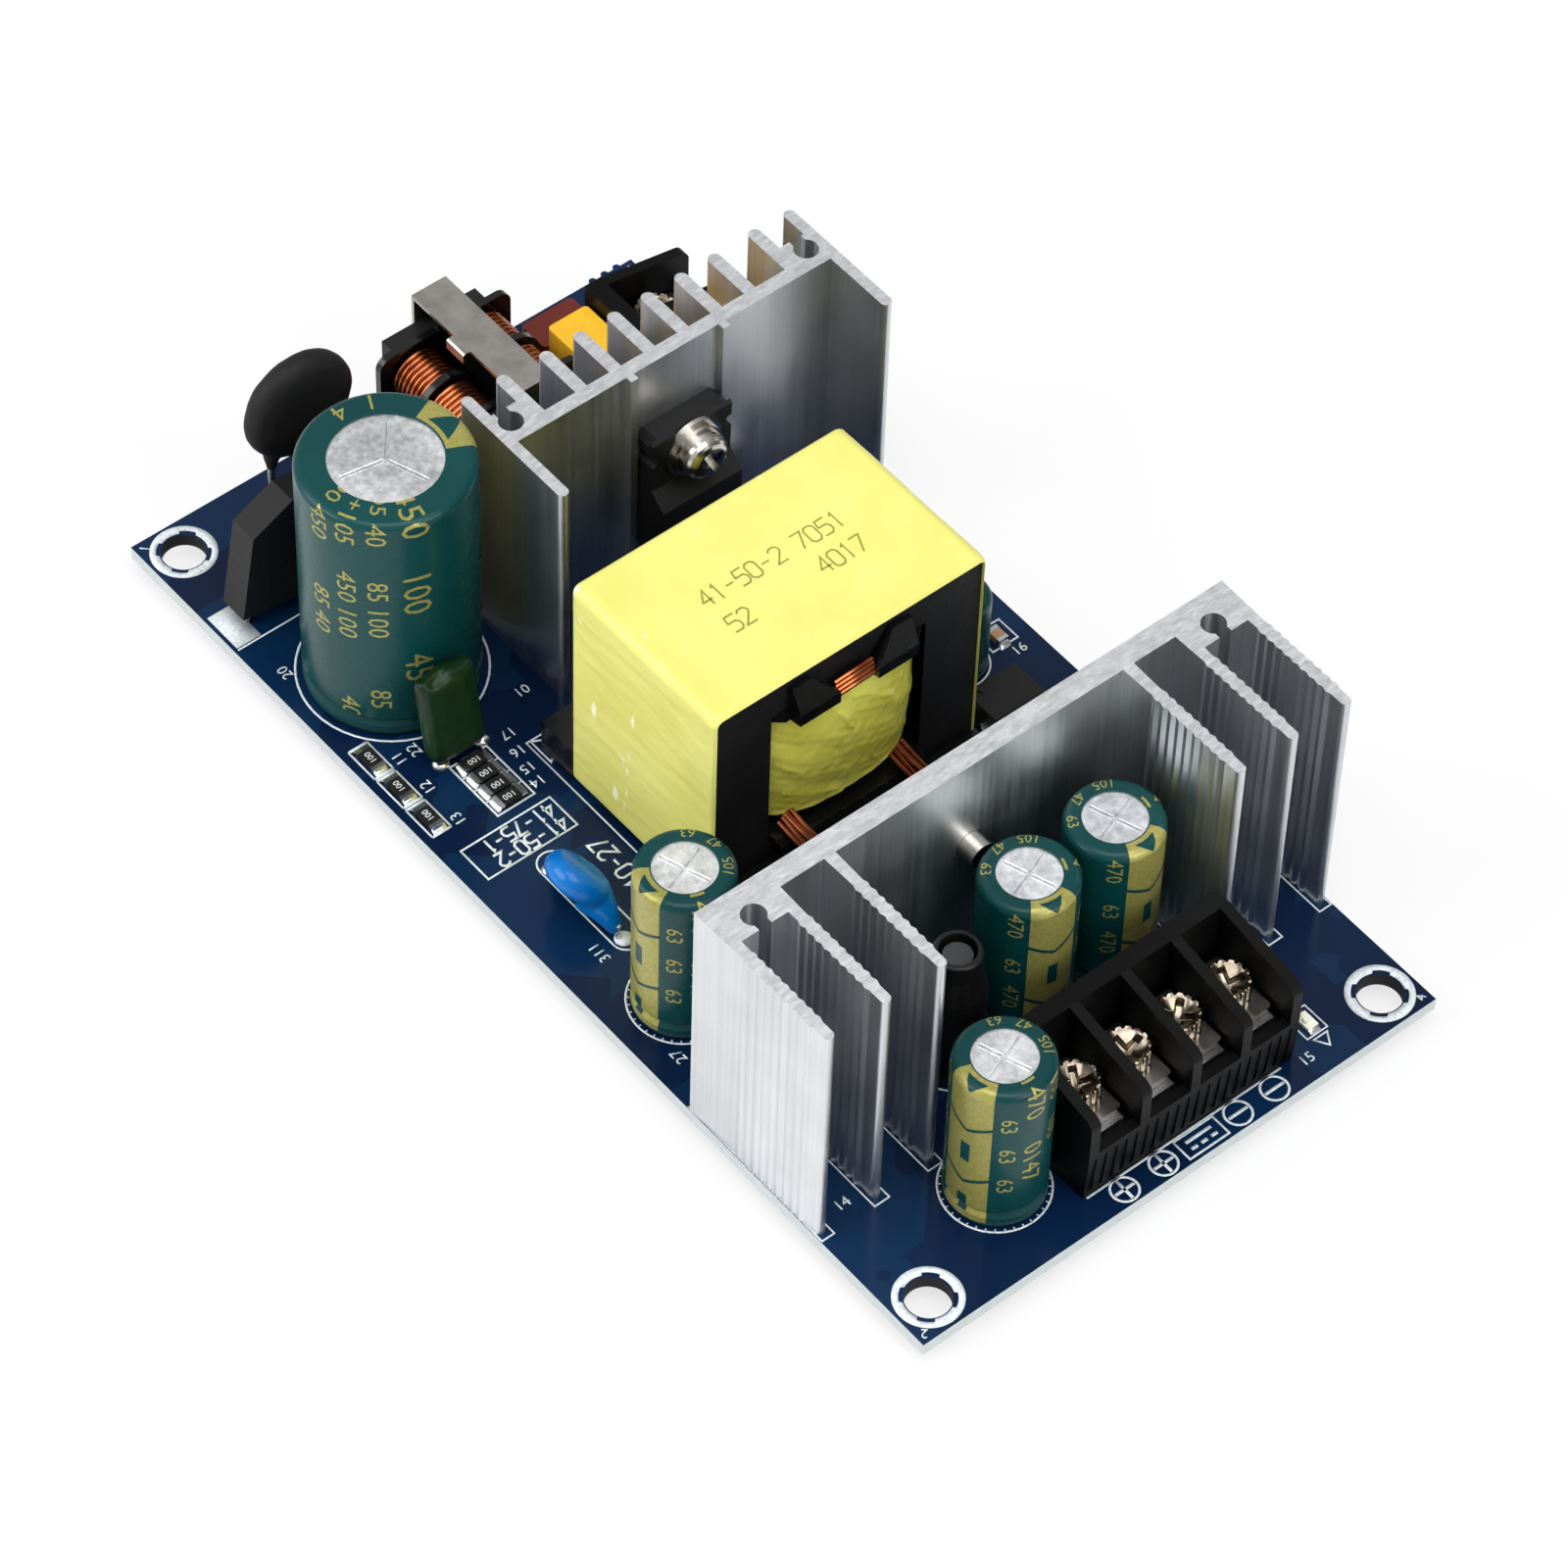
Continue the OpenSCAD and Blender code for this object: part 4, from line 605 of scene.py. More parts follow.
class PieceMesh:
    """Collects surfaces in board millimetres and turns them into one object."""

    def __init__(self) -> None:
        """Starts empty."""
        self.points: list[np.ndarray] = []
        self.faces: list[list[int]] = []
        self.slots: list[int] = []
        self.count = 0

    def add(self, points: np.ndarray, faces: list, slot: int = 0) -> None:
        """Adds a surface.

        Args:
            points: an array of n by 3.
            faces: lists of corner numbers, anticlockwise from outside.
            slot: the material's place in the object's list.
        """
        self.points.append(np.asarray(points, dtype=float).reshape(-1, 3))
        self.faces.extend([[int(corner) + self.count for corner in face] for face in faces])
        self.slots.extend([slot] * len(faces))
        self.count += len(self.points[-1])

    def grid(self, points: np.ndarray, around: bool = False, along: bool = False, slot: int = 0,
             flip: bool = False) -> None:
        """Adds a surface given as rows of points, joined row to row.

        Args:
            points: an array of rows by columns by 3.
            around: the last column joins the first.
            along: the last row joins the first.
            slot: the material's place.
            flip: turns the faces round.
        """
        rows, columns = points.shape[:2]
        row = np.arange(rows if along else rows - 1)
        column = np.arange(columns if around else columns - 1)
        low, left = np.meshgrid(row, column, indexing="ij")
        high, right = (low + 1) % rows, (left + 1) % columns
        corners = [low * columns + left, low * columns + right, high * columns + right, high * columns + left]
        quads = np.stack(corners[::-1] if flip else corners, axis=-1).reshape(-1, 4)
        self.add(points, quads.tolist(), slot)

    def tube(self, path: np.ndarray, radius: object, sides: int) -> None:
        """A round bar along a path, with closed ends: each ring lies square to the path at its point.

        Args:
            path: an array of n by 3.
            radius: one radius, or one for each point.
            sides: corners of a ring.
        """
        side, up = across_path(path, (0.31, 0.17, 0.93))
        turn = full_turn(sides)[None, :, None]
        size = np.broadcast_to(np.asarray(radius, dtype=float), (len(path),))[:, None, None]
        first = self.count
        last = first + (len(path) - 1) * sides
        rings = path[:, None] + size * (np.cos(turn) * side[:, None] + np.sin(turn) * up[:, None])
        self.grid(rings, around=True, flip=True)
        self.faces += [list(range(first, first + sides)), list(range(last, last + sides))[::-1]]
        self.slots += [0, 0]

    def lathe(self, profile: np.ndarray, centre: tuple, sides: int) -> None:
        """Turns a profile of radius and height about a vertical axis through a centre."""
        rings = round_axis(centre, profile[:, :1], full_turn(sides), centre[2] + profile[:, 1:])
        self.grid(rings, around=True)

    def build(self, name: str, materials: tuple, angle: float = 40.0) -> bpy.types.Object:
        """Makes the object.

        Args:
            name: its name.
            materials: its materials, in the order of the slots.
            angle: faces that meet at less than this many degrees are shaded smooth.

        Returns:
            The linked object, at the origin.
        """
        mesh = bpy.data.meshes.new(name)
        points = (np.concatenate(self.points) - ORIGIN) * MM
        mesh.from_pydata(points.tolist(), [], self.faces)
        for material in materials:
            mesh.materials.append(material)
        mesh.polygons.foreach_set("material_index", np.array(self.slots, dtype=np.int32))
        mesh.shade_smooth()
        mesh.set_sharp_from_angle(angle=math.radians(angle))
        mesh.update()
        return placed(name, mesh)


def ride(piece: bpy.types.Object, slot: str, *nodes: str) -> None:
    """Ties a finished piece to the part, hides the nodes that it stands for and reports it.

    Args:
        piece: the object.
        slot: not used.
        nodes: the CAD nodes that it stands for.
    """
    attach(piece, "root")
    if nodes:
        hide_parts(*nodes)
    LOG.info("%s: %d faces", piece.name, len(piece.data.polygons))


def smooth_path(points: list, count: int) -> np.ndarray:
    """A smooth curve through points: a Catmull-Rom spline, one cubic between each two points.

    Args:
        points: the points to pass.
        count: how many points the curve gets.

    Returns:
        An array of count by 3.
    """
    knots = np.asarray(points, dtype=float)
    ends = np.vstack([2 * knots[0] - knots[1], knots, 2 * knots[-1] - knots[-2]])
    place = np.linspace(0, len(knots) - 1 - 1e-9, count)
    index = place.astype(int)
    t = (place - index)[:, None]
    a, b, c, d = (ends[index + k] for k in range(4))
    square, cube = 2 * a - 5 * b + 4 * c - d, 3 * b - a - 3 * c + d
    return 0.5 * (2 * b + (c - a) * t + square * t ** 2 + cube * t ** 3)


def crumple(first: np.ndarray, second: np.ndarray, pitch: float, seed: int) -> np.ndarray:
    """Smooth unevenness between about -1 and 1: a sum of nine sine waves in seeded directions.

    Args:
        first, second: the two coordinates that the waves run over.
        pitch: the length of the longest wave.
        seed: fixes the waves.

    Returns:
        An array of the coordinates' shape.
    """
    rng = np.random.default_rng(seed)
    total = np.zeros(np.broadcast(first, second).shape)
    for step in range(9):
        angle, phase = rng.uniform(0, 2 * np.pi, 2)
        pace = 2 * np.pi / pitch * (1 + 0.45 * step)
        run = first * math.cos(angle) + second * math.sin(angle)
        total += np.sin(pace * run + phase) / (1 + 0.6 * step)
    return total / 2.2


def flat_text(body: str, size: float, strip: float = 0.0) -> tuple[np.ndarray, list]:
    """A flat mesh of a short text, centred on the origin.

    Args:
        body: the text.
        size: its height in millimetres.
        strip: if given, the mesh is cut into strips of this width both ways, so that it can be bent.

    Returns:
        Points in millimetres, n by 2, and faces.
    """
    curve = bpy.data.curves.new("text", "FONT")
    curve.body = body
    curve.size = size
    curve.resolution_u = 2
    curve.align_x = "CENTER"
    curve.align_y = "CENTER"
    carrier = placed("text", curve)
    bpy.context.view_layer.update()
    mesh = shown(carrier)
    shape = bmesh.new()
    shape.from_mesh(mesh)
    if strip:
        reach = max(max(abs(v.co.x), abs(v.co.y)) for v in shape.verts)
        for axis in ((1, 0, 0), (0, 1, 0)):
            for place in np.arange(-reach, reach, strip):
                bmesh.ops.bisect_plane(
                    shape, geom=shape.verts[:] + shape.edges[:] + shape.faces[:], dist=1e-6,
                    plane_co=tuple(place * part for part in axis), plane_no=axis)
    points = np.array([v.co[:2] for v in shape.verts])
    faces = [[v.index for v in face.verts] for face in shape.faces]
    shape.free()
    bpy.data.objects.remove(carrier)
    bpy.data.curves.remove(curve)
    bpy.data.meshes.remove(mesh)
    return points, faces


def at_height(points: np.ndarray, height: float) -> np.ndarray:
    """Gives places on a plane a height."""
    return np.concatenate([points, np.full((*points.shape[:-1], 1), height)], axis=-1)


def stroke(points: list, width: float, closed: bool = False) -> np.ndarray:
    """A flat line of even width along points, mitred at its corners.

    Args:
        points: places on the plane.
        width: the line's width.
        closed: the line returns to its start.

    Returns:
        An array of n by 2 by 2: the two edges at each point.
    """
    line = np.asarray(points, dtype=float)
    if closed:
        line = np.vstack([line, line[:1]])
    step = np.diff(line, axis=0)
    step /= np.linalg.norm(step, axis=1)[:, None]
    before = np.vstack([step[-1:] if closed else step[:1], step])
    after = np.vstack([step, step[:1] if closed else step[-1:]])
    normal = np.stack([-(before + after)[:, 1], (before + after)[:, 0]], axis=1)
    normal /= np.linalg.norm(normal, axis=1)[:, None]
    cosine = np.abs(normal[:, 0] * -after[:, 1] + normal[:, 1] * after[:, 0])
    offset = normal * (width / 2 / np.clip(cosine, 0.4, 1.0))[:, None]
    return np.stack([line + offset, line - offset], axis=1)


SIGN_GRID = 6
STROKES = {
    "0": ((1, 0), (0, 1), (0, 5), (1, 6), (3, 6), (4, 5), (4, 1), (3, 0), (1, 0)),
    "1": ((1, 5), (2, 6), (2, 0)),
    "2": ((0, 5), (1, 6), (3, 6), (4, 5), (4, 4), (0, 0), (4, 0)),
    "4": ((3, 0), (3, 6), (0, 2), (4, 2)),
    "5": ((4, 6), (0.5, 6), (0, 3.5), (3, 3.5), (4, 2.5), (4, 1), (3, 0), (0, 0)),
    "7": ((0, 6), (4, 6), (1, 0)),
    "-": ((0.5, 3), (3.5, 3)),
}


def thin_numbers(body: str, tall: float, line: float) -> list:
    """Numbers drawn with thin lines from the left, on a baseline.

    Args:
        body: the numbers, dashes and spaces.
        tall: their height.
        line: the lines' width.

    Returns:
        One array of line edges for each sign.
    """
    narrow = np.array([0.85, 1.0])
    pitch = 0.7
    signs = []
    for index, sign in enumerate(body):
        if sign in STROKES:
            points = np.array(STROKES[sign], dtype=float) * (tall / SIGN_GRID) * narrow
            signs.append(stroke(points + np.array([index * tall * pitch, 0.0]), line))
    return signs


def ring_points(centre: tuple, radius: float, start: float = 0.0, end: float = 360.0,
                steps: int = 48) -> np.ndarray:
    """Points of an arc: centre + radius (cos a, sin a), from a start to an end angle in degrees."""
    turn = np.radians(np.linspace(start, end, steps + 1))
    return np.stack([centre[0] + radius * np.cos(turn), centre[1] + radius * np.sin(turn)], axis=1)


class Width:
    """Widths of the printed lines, from a tick to the bars of a sign."""

    TICK = 0.13
    HAIR = 0.16
    THIN = 0.18
    LINE = 0.2
    FRAME = 0.22
    RING = 0.24
    SIGN = 0.26
    BRACKET = 0.3
    CROSS = 0.34
    BAR = 0.36


@dataclass
class BoardPrint:
    """White print on the board: outlines of the parts, rings at the holes, signs and plain numbers."""

    lift: float = 0.03
    sink: float = 0.01
    hole_inset: float = 3.85
    ring_in: float = 2.5
    ring_out: float = 3.5
    notch: float = 0.34
    notch_half: float = 19.0
    signs_x: float = 123.25
    plus_y: tuple = (26.4, 31.3)
    minus_y: tuple = (40.8, 45.5)
    part_boxes: tuple = (
        ((8.1, 49.4), (26.4, 63.9)), ((10.4, 45.1), (24.7, 50.1)), ((1.6, 28.9), (19.6, 44.4)),
        ((68.6, 51.4), (75.4, 60.2)))
    corner_size: float = 1.5
    corner_numbers: tuple = (
        ("1", (0.95, 0.95), 315.0), ("2", (124.0, 0.95), 225.0), ("3", (0.95, 64.0), 225.0),
        ("4", (124.0, 64.0), 135.0))
    part_size: float = 1.7
    part_numbers: tuple = (
        ("11", (38.94, 4.62), 180.0), ("12", (43.56, 4.62), 180.0), ("13", (48.57, 4.54), 180.0),
        ("14", (49.64, 13.55), -90.0), ("15", (47.66, 13.83), -90.0), ("16", (45.38, 14.38), -90.0),
        ("17", (42.99, 15.01), -90.0), ("22", (38.95, 6.45), 180.0), ("27", (84.83, 3.22), 180.0),
        ("311", (70.27, 5.06), 180.0), ("20", (23.0, 2.4), 180.0), ("10", (39.6, 19.5), 90.0),
        ("14", (107.9, 4.4), 90.0), ("15", (122.6, 50.3), 90.0), ("16", (66.3, 62.2), 90.0))
    mesh: PieceMesh = field(default_factory=PieceMesh)

    def flat(self, edges: np.ndarray) -> None:
        """Lays a line's two edges on the board."""
        self.mesh.grid(at_height(edges, self.lift))

    def line(self, width: float, *points: tuple) -> None:
        """Draws an open line through points."""
        self.flat(stroke(points, width))

    def outline(self, width: float, *points: tuple) -> None:
        """Draws a closed line through points."""
        self.flat(stroke(points, width, True))

    def circle(self, centre: tuple, radius: float, width: float = Width.LINE) -> None:
        """Draws a circle."""
        self.outline(width, *ring_points(centre, radius)[:-1])

    def box(self, low: tuple, high: tuple, width: float = Width.THIN) -> None:
        """Draws a rectangle from its lowest to its highest corner."""
        self.outline(width, low, (high[0], low[1]), high, (low[0], high[1]))

    def patch(self, points: list) -> None:
        """Fills a convex shape."""
        self.mesh.add(at_height(np.array(points), self.lift), [range(len(points))])

    def numbers(self, size: float, rows: tuple) -> None:
        """Prints plain numbers, each at its place and turned by its angle in degrees.

        Args:
            size: their height in millimetres.
            rows: text, place and angle of each.
        """
        for body, place, turn in rows:
            points, faces = flat_text(body, size)
            self.mesh.add(at_height(turned(points, turn) + np.array(place), self.lift), faces)

    def thin(self, body: str, tall: float, start: tuple, turn: float) -> None:
        """Prints numbers in thin lines from a start, turned by an angle in degrees."""
        for edges in thin_numbers(body, tall, Width.SIGN):
            self.flat(turned(edges, turn) + np.array(start))

    def hole_ring(self, centre: tuple) -> None:
        """A broad ring round a hole with four notches in its inner edge, on the diagonals.

        Args:
            centre: the hole's place.
        """
        turn = np.linspace(0, 360, 145)
        near = np.abs(turn % 90.0 - 45.0) < self.notch_half
        inner = np.where(near, self.ring_in + self.notch, self.ring_in)[:, None]
        ways = ring_points((0.0, 0.0), 1.0, steps=144)
        self.flat(np.stack([self.ring_out * ways, inner * ways], axis=1) + np.array(centre))

    def signs(self) -> None:
        """Plus and minus signs in circles beside the output terminal, and the sign for steady current."""
        x = self.signs_x
        for y in self.plus_y + self.minus_y:
            self.circle((x, y), 1.42, Width.SIGN)
            self.line(Width.CROSS, (x, y - 1.2), (x, y + 1.2))
            if y in self.plus_y:
                self.line(Width.CROSS, (x - 1.2, y), (x + 1.2, y))
        self.box((122.0, 33.6), (124.5, 38.6), Width.FRAME)
        self.line(Width.BAR, (122.8, 34.5), (122.8, 37.7))
        for y in (34.5, 35.75, 37.0):
            self.line(Width.BAR, (123.7, y), (123.7, y + 0.75))

    def chip_marks(self) -> None:
        """Brackets round the chips of the row, a frame round the column, and ticks between its chips."""
        for x, middle in CHIP_ROW:
            for side in (-1, 1):
                y = middle + side * 1.15
                self.line(Width.LINE, (x - 2.15, y), (x + 2.15, y))
                self.line(Width.BRACKET, (x + side * 2.15, 1.05), (x + side * 2.15, 3.35))
        self.box((42.95, 7.75), (50.75, 12.35), Width.FRAME)
        for x in (44.95, 46.85, 48.72):
            for y in (8.4, 11.8):
                self.line(Width.HAIR, (x, y - 0.6), (x, y + 0.4))

    def capacitor_rings(self) -> None:
        """A circle round each upright capacitor and the rod choke, with ticks in the output ones."""
        self.circle(BULK_CAN, 9.75, Width.RING)
        for centre in OUTPUT_CANS:
            self.circle(centre, 5.5)
            for turn in full_turn(36):
                way = np.array([math.cos(turn), math.sin(turn)])
                self.line(Width.TICK, np.array(centre) + way * 5.12, np.array(centre) + way * 5.45)
        for centre, radius in ((FEEDBACK_CAN, 3.4), ((39.17, 52.12), 2.75), ((101.4, 23.3), 3.6)):
            self.circle(centre, radius)

    def input_side(self) -> None:
        """A pad, a box of thin numbers, and the outlines of the transformer and the disc capacitor."""
        self.patch([(12.45, 0.45), (17.5, 0.45), (17.5, 3.45), (12.45, 3.45)])
        self.line(Width.THIN, (17.75, 0.4), (17.75, 18.2), (12.6, 18.2))
        self.box((52.0, 2.15), (56.45, 13.24), Width.LINE)
        self.thin("41-50-2", 1.75, (54.45, 12.6), -90.0)
        self.thin("41-75-1", 1.75, (52.35, 12.6), -90.0)
        self.box((45.2, 15.65), (80.6, 49.4))
        self.outline(Width.LINE, (45.3, 16.1), (48.6, 16.1), (46.7, 18.9))
        self.patch(ring_points((47.9, 17.7), 0.55, steps=16)[:-1])
        ends = (ring_points((58.8, 8.3), 1.6, 90, 270, 10), ring_points((70.4, 8.3), 1.6, -90, 90, 10))
        self.outline(Width.LINE, *np.vstack(ends))

    def heatsink_feet(self) -> None:
        """Three steps at each end of the output heatsink, kept inside the board."""
        for low, high in ((-0.05, 1.65), (6.6, 8.4), (13.2, 15.0)):
            for near in (low, BOARD[1] - high):
                foot = max(near, 0.15)
                top = min(near + high - low, BOARD[1] - 0.15)
                self.line(Width.HAIR, (90.0, foot), (110.05, foot), (110.05, top), (90.0, top))

    def build(self, ink: Material) -> None:
        """Prints everything and makes the piece.

        Args:
            ink: the print's finish.
        """
        for y in (self.hole_inset, BOARD[1] - self.hole_inset):
            for x in (self.hole_inset, BOARD[0] - self.hole_inset):
                self.hole_ring((x, y))
        self.numbers(self.corner_size, self.corner_numbers)
        self.capacitor_rings()
        self.signs()
        self.chip_marks()
        self.line(Width.RING, (121.8, 22.9), (121.8, 47.6))
        self.input_side()
        self.numbers(self.part_size, self.part_numbers)
        self.thin("510-27", 2.0, (67.3, 14.3), 180.0)
        self.patch(ring_points((70.35, 7.95), 0.95, steps=20)[:-1])
        self.box((62.0, 59.8), (65.0, 63.1))
        self.outline(Width.HAIR, (117.6, 51.9), (117.6, 54.5), (120.9, 54.5), (120.9, 51.9))
        self.outline(Width.THIN, (121.3, 52.3), (121.3, 54.1), (122.7, 53.2))
        self.heatsink_feet()
        for low, high in self.part_boxes:
            self.box(low, high)
        piece = self.mesh.build("board_print", (ink,))
        thick = piece.modifiers.new("film", "SOLIDIFY")
        thick.thickness = (self.lift + self.sink) * MM
        thick.offset = -1.0
        ride(piece, "board_blue")


@dataclass
class Sleeve:
    """A capacitor's shrink sleeve: its outline, and the way round it that its stripe faces."""

    centre: tuple
    radius: float
    height: float
    stripe_at: float
    stripe_half: float
    shoulder: float = 0.9
    crimp: float = 0.35
    rim_share: float = 0.64
    line: np.ndarray = field(init=False)
    reach: np.ndarray = field(init=False)
    facing: np.ndarray = field(init=False)

    def __post_init__(self) -> None:
        """Finds the outline, from its lower edge up and in over its top, its lengths and directions."""
        r, h, s = self.radius, self.height, self.shoulder
        bend = np.radians(np.linspace(0, 90, 10))
        side = [(r, 0.5), (r, 1.4), (r - self.crimp, 2.0), (r, 2.6)]
        over = list(zip(r - s + s * np.cos(bend), h - s + s * np.sin(bend)))
        self.line = np.array(side + over + [(r * self.rim_share, h)])
        step = np.diff(self.line, axis=0)
        length = np.hypot(step[:, 0], step[:, 1])
        self.reach = np.concatenate([[0.0], np.cumsum(length)])
        square = np.stack([step[:, 1], -step[:, 0]], axis=1) / length[:, None]
        self.facing = np.vstack([square[:1], (square[1:] + square[:-1]) / 2, square[-1:]])

    def surface(self, around: np.ndarray, along: np.ndarray, lift: float) -> np.ndarray:
        """Points on the sleeve.

        Args:
            around: millimetres round the sleeve from the stripe's middle.
            along: millimetres up its outline.
            lift: height above the film.

        Returns:
            Points, with a last axis of 3.
        """
        radius, height = (
            np.interp(along, self.reach, line) + lift * np.interp(along, self.reach, facing)
            for line, facing in zip(self.line.T, self.facing.T))
        return round_axis(self.centre, radius, np.radians(self.stripe_at) + around / self.radius, height)


@dataclass
class SleevePrint:
    """Gold stripe, its dark bars and chevrons, and gold plain numbers on one sleeve."""

    name: str
    sleeve: Sleeve
    numbers: tuple
    ring: tuple = ()
    lift: float = 0.02
    strip: float = 0.4
    mesh: PieceMesh = field(default_factory=PieceMesh)

    def lay(self, around: np.ndarray, along: np.ndarray, slot: int) -> None:
        """A printed surface, the dark one above the gold one."""
        self.mesh.grid(self.sleeve.surface(around, along, self.lift * (1 + slot)), slot=slot)

    def band(self, half: float, low: float, high: float, slot: int) -> None:
        """A printed field about the stripe's middle, between two places along the sleeve.

        Args:
            half: half its width.
            low, high: its ends along the sleeve.
            slot: GOLD or DARK.
        """
        across = max(2, int(2 * half / 0.3) + 1)
        up = max(2, int((high - low) / 0.15) + 1)
        rows, columns = np.linspace(low, high, up), np.linspace(-half, half, across)
        along, around = np.meshgrid(rows, columns, indexing="ij")
        self.lay(around, along, slot)

    def chevron(self, half: float, low: float, rise: float, thick: float = 0.42) -> None:
        """A thin V across the stripe: height = low + rise times the distance from the middle.

        Args:
            half: half its width.
            low: its lowest place along the sleeve.
            rise: how far its ends lie above its middle.
            thick: the line's width.
        """
        steps = np.linspace(-1, 1, 15)
        along = np.linspace(0, 1, 5)[:, None] * thick + (low + rise * np.abs(steps))[None, :]
        self.lay(np.broadcast_to(steps * half, along.shape), along, DARK)

    def point(self, half: float, high: float, tall: float) -> None:
        """A dark triangle that points down the stripe: its half width shrinks evenly to nothing.

        Args:
            half: half its width at the top.
            high: its top, along the sleeve.
            tall: its length.
        """
        share = np.linspace(0, 1, 14)[:, None]
        around = np.linspace(-half, half, 9)[None, :] * share
        self.lay(around, high - tall + tall * share + 0 * around, DARK)

    def side_numbers(self, rows: tuple, top: float) -> None:
        """Rows of numbers that read down the sleeve, one below the other.

        Args:
            rows: each row's place round the sleeve, texts, start below the top and size.
            top: the place that the starts are counted from.
        """
        for around, bodies, start, size in rows:
            along = top - start
            for body in bodies:
                points, faces = flat_text(body, size, self.strip)
                places = self.sleeve.surface(around + points[:, 1], along - points[:, 0], self.lift)
                self.mesh.add(places, faces, GOLD)
                along -= size * (0.62 * len(body) + 0.8)

    def ring_number(self, body: str, size: float, degrees: float) -> None:
        """Numbers on the shoulder, read along it, at an angle from the stripe's middle.

        Args:
            body: the numbers.
            size: their height in millimetres.
            degrees: the angle.
        """
        points, faces = flat_text(body, size, self.strip)
        around = math.radians(degrees) * self.sleeve.radius + points[:, 0] * 1.2
        along = self.sleeve.reach[-1] - size * 0.62 + points[:, 1]
        self.mesh.add(self.sleeve.surface(around, along, self.lift), faces, GOLD)

    def build(self, gold: Material, dark: Material) -> None:
        """Prints the sleeve.

        Args:
            gold: the stripe's and numbers' ink.
            dark: the finish of the dark signs.
        """
        radius = self.sleeve.radius
        half = math.radians(self.sleeve.stripe_half) * radius
        top = self.sleeve.reach[-1] - 0.15
        self.band(half, 0.2, top, GOLD)
        self.point(half * 0.6, top - 0.5, radius * 0.28)
        for degrees, body in self.ring:
            self.ring_number(body, radius * 0.31, degrees)
        unit = radius * 0.9
        place = 1.0
        while place + unit * 1.9 < top - unit * 0.75:
            self.band(half * 0.2, place, place + unit * 0.6, DARK)
            self.chevron(half, place + unit * 1.0, unit * 0.3)
            place += unit * 1.75
        self.side_numbers(self.numbers, top)
        ride(self.mesh.build(self.name, (gold, dark)), "sleeve_green")


@dataclass
class CoreTape:
    """The tape band round the core: a closed loop, a little slack at its corners, curled at its edges."""

    low_z: float = 1.3
    core_l: float = 33.1
    core_h: float = 28.5
    core_w: float = 21.2
    thick: float = 0.35
    corner: float = 0.7
    curl: float = 0.34
    curl_w: float = 0.55
    flat_w: float = 0.8
    overlap: float = 0.02

    def loop(self, steps: int) -> tuple[np.ndarray, np.ndarray, np.ndarray]:
        """A rounded rectangle round the core's ends: places, outward directions and lengths along it.

        Args:
            steps: how many points it has.

        Returns:
            Points n by 2, directions n by 2, and lengths n.
        """
        half_y, half_z = self.core_l / 2 - self.corner, self.core_h / 2 - self.corner
        arc = self.corner * np.pi / 2
        sides = np.array([2 * half_z, arc, 2 * half_y, arc] * 2)
        reach = np.concatenate([[0], np.cumsum(sides)])
        place = np.linspace(0, reach[-1], steps, endpoint=False)
        leg = np.searchsorted(reach, place, side="right") - 1
        part = (place - reach[leg]) / sides[leg]
        angle = (np.where(leg % 2 == 1, part, 0.0) + leg // 2) * np.pi / 2
        way = np.stack([np.cos(angle), np.sin(angle)], axis=1)
        corners = np.array([[half_y, -half_z], [half_y, half_z], [-half_y, half_z], [-half_y, -half_z]])
        start = corners[leg // 2]
        end = corners[(leg // 2 + 1) % 4]
        slide = np.where(leg % 2 == 0, part, 1.0)[:, None]
        return start + (end - start) * slide + self.corner * way, way, place

    def build(self, film: Material) -> None:
        """Outer face, curled edges and inner face in one closed surface.

        Args:
            film: the tape's finish.
        """
        points, way, place = self.loop(420)
        half = self.core_w / 2 + self.thick
        run = np.linspace(-half, half, 90)
        outer = self.thick - self.curl * near_edge(run, half, self.curl_w) ** 2
        slack = 0.05 * crumple(place[:, None] * 0.5, run[None, :], 16.0, 3)
        slack += 0.035 * crumple(place[:, None], run[None, :] * 0.35, 4.5, 5)
        slack *= 0.4 + 0.6 * (np.abs(way[:, :1]) > 0.5)
        lift = outer[None, :] + slack * (1 - near_edge(run, half, self.flat_w))[None, :]
        inner = np.array([half - 0.05, half - 0.6, -half + 0.6, -half + 0.05])
        x = np.concatenate([run, inner])
        rise = np.concatenate([lift, np.full((len(place), len(inner)), -self.overlap)], axis=1)
        y, z = (points[:, k:k + 1] + way[:, k:k + 1] * rise for k in range(2))
        mesh = PieceMesh()
        mesh.grid(np.stack([np.broadcast_to(TRANSFORMER[0] + x, y.shape), TRANSFORMER[1] + y,
                            self.low_z + self.core_h / 2 + z], axis=-1), around=True, along=True, flip=True)
        ride(mesh.build("core_tape", (film,), 60.0), "tape_yellow", "transformer_tape")


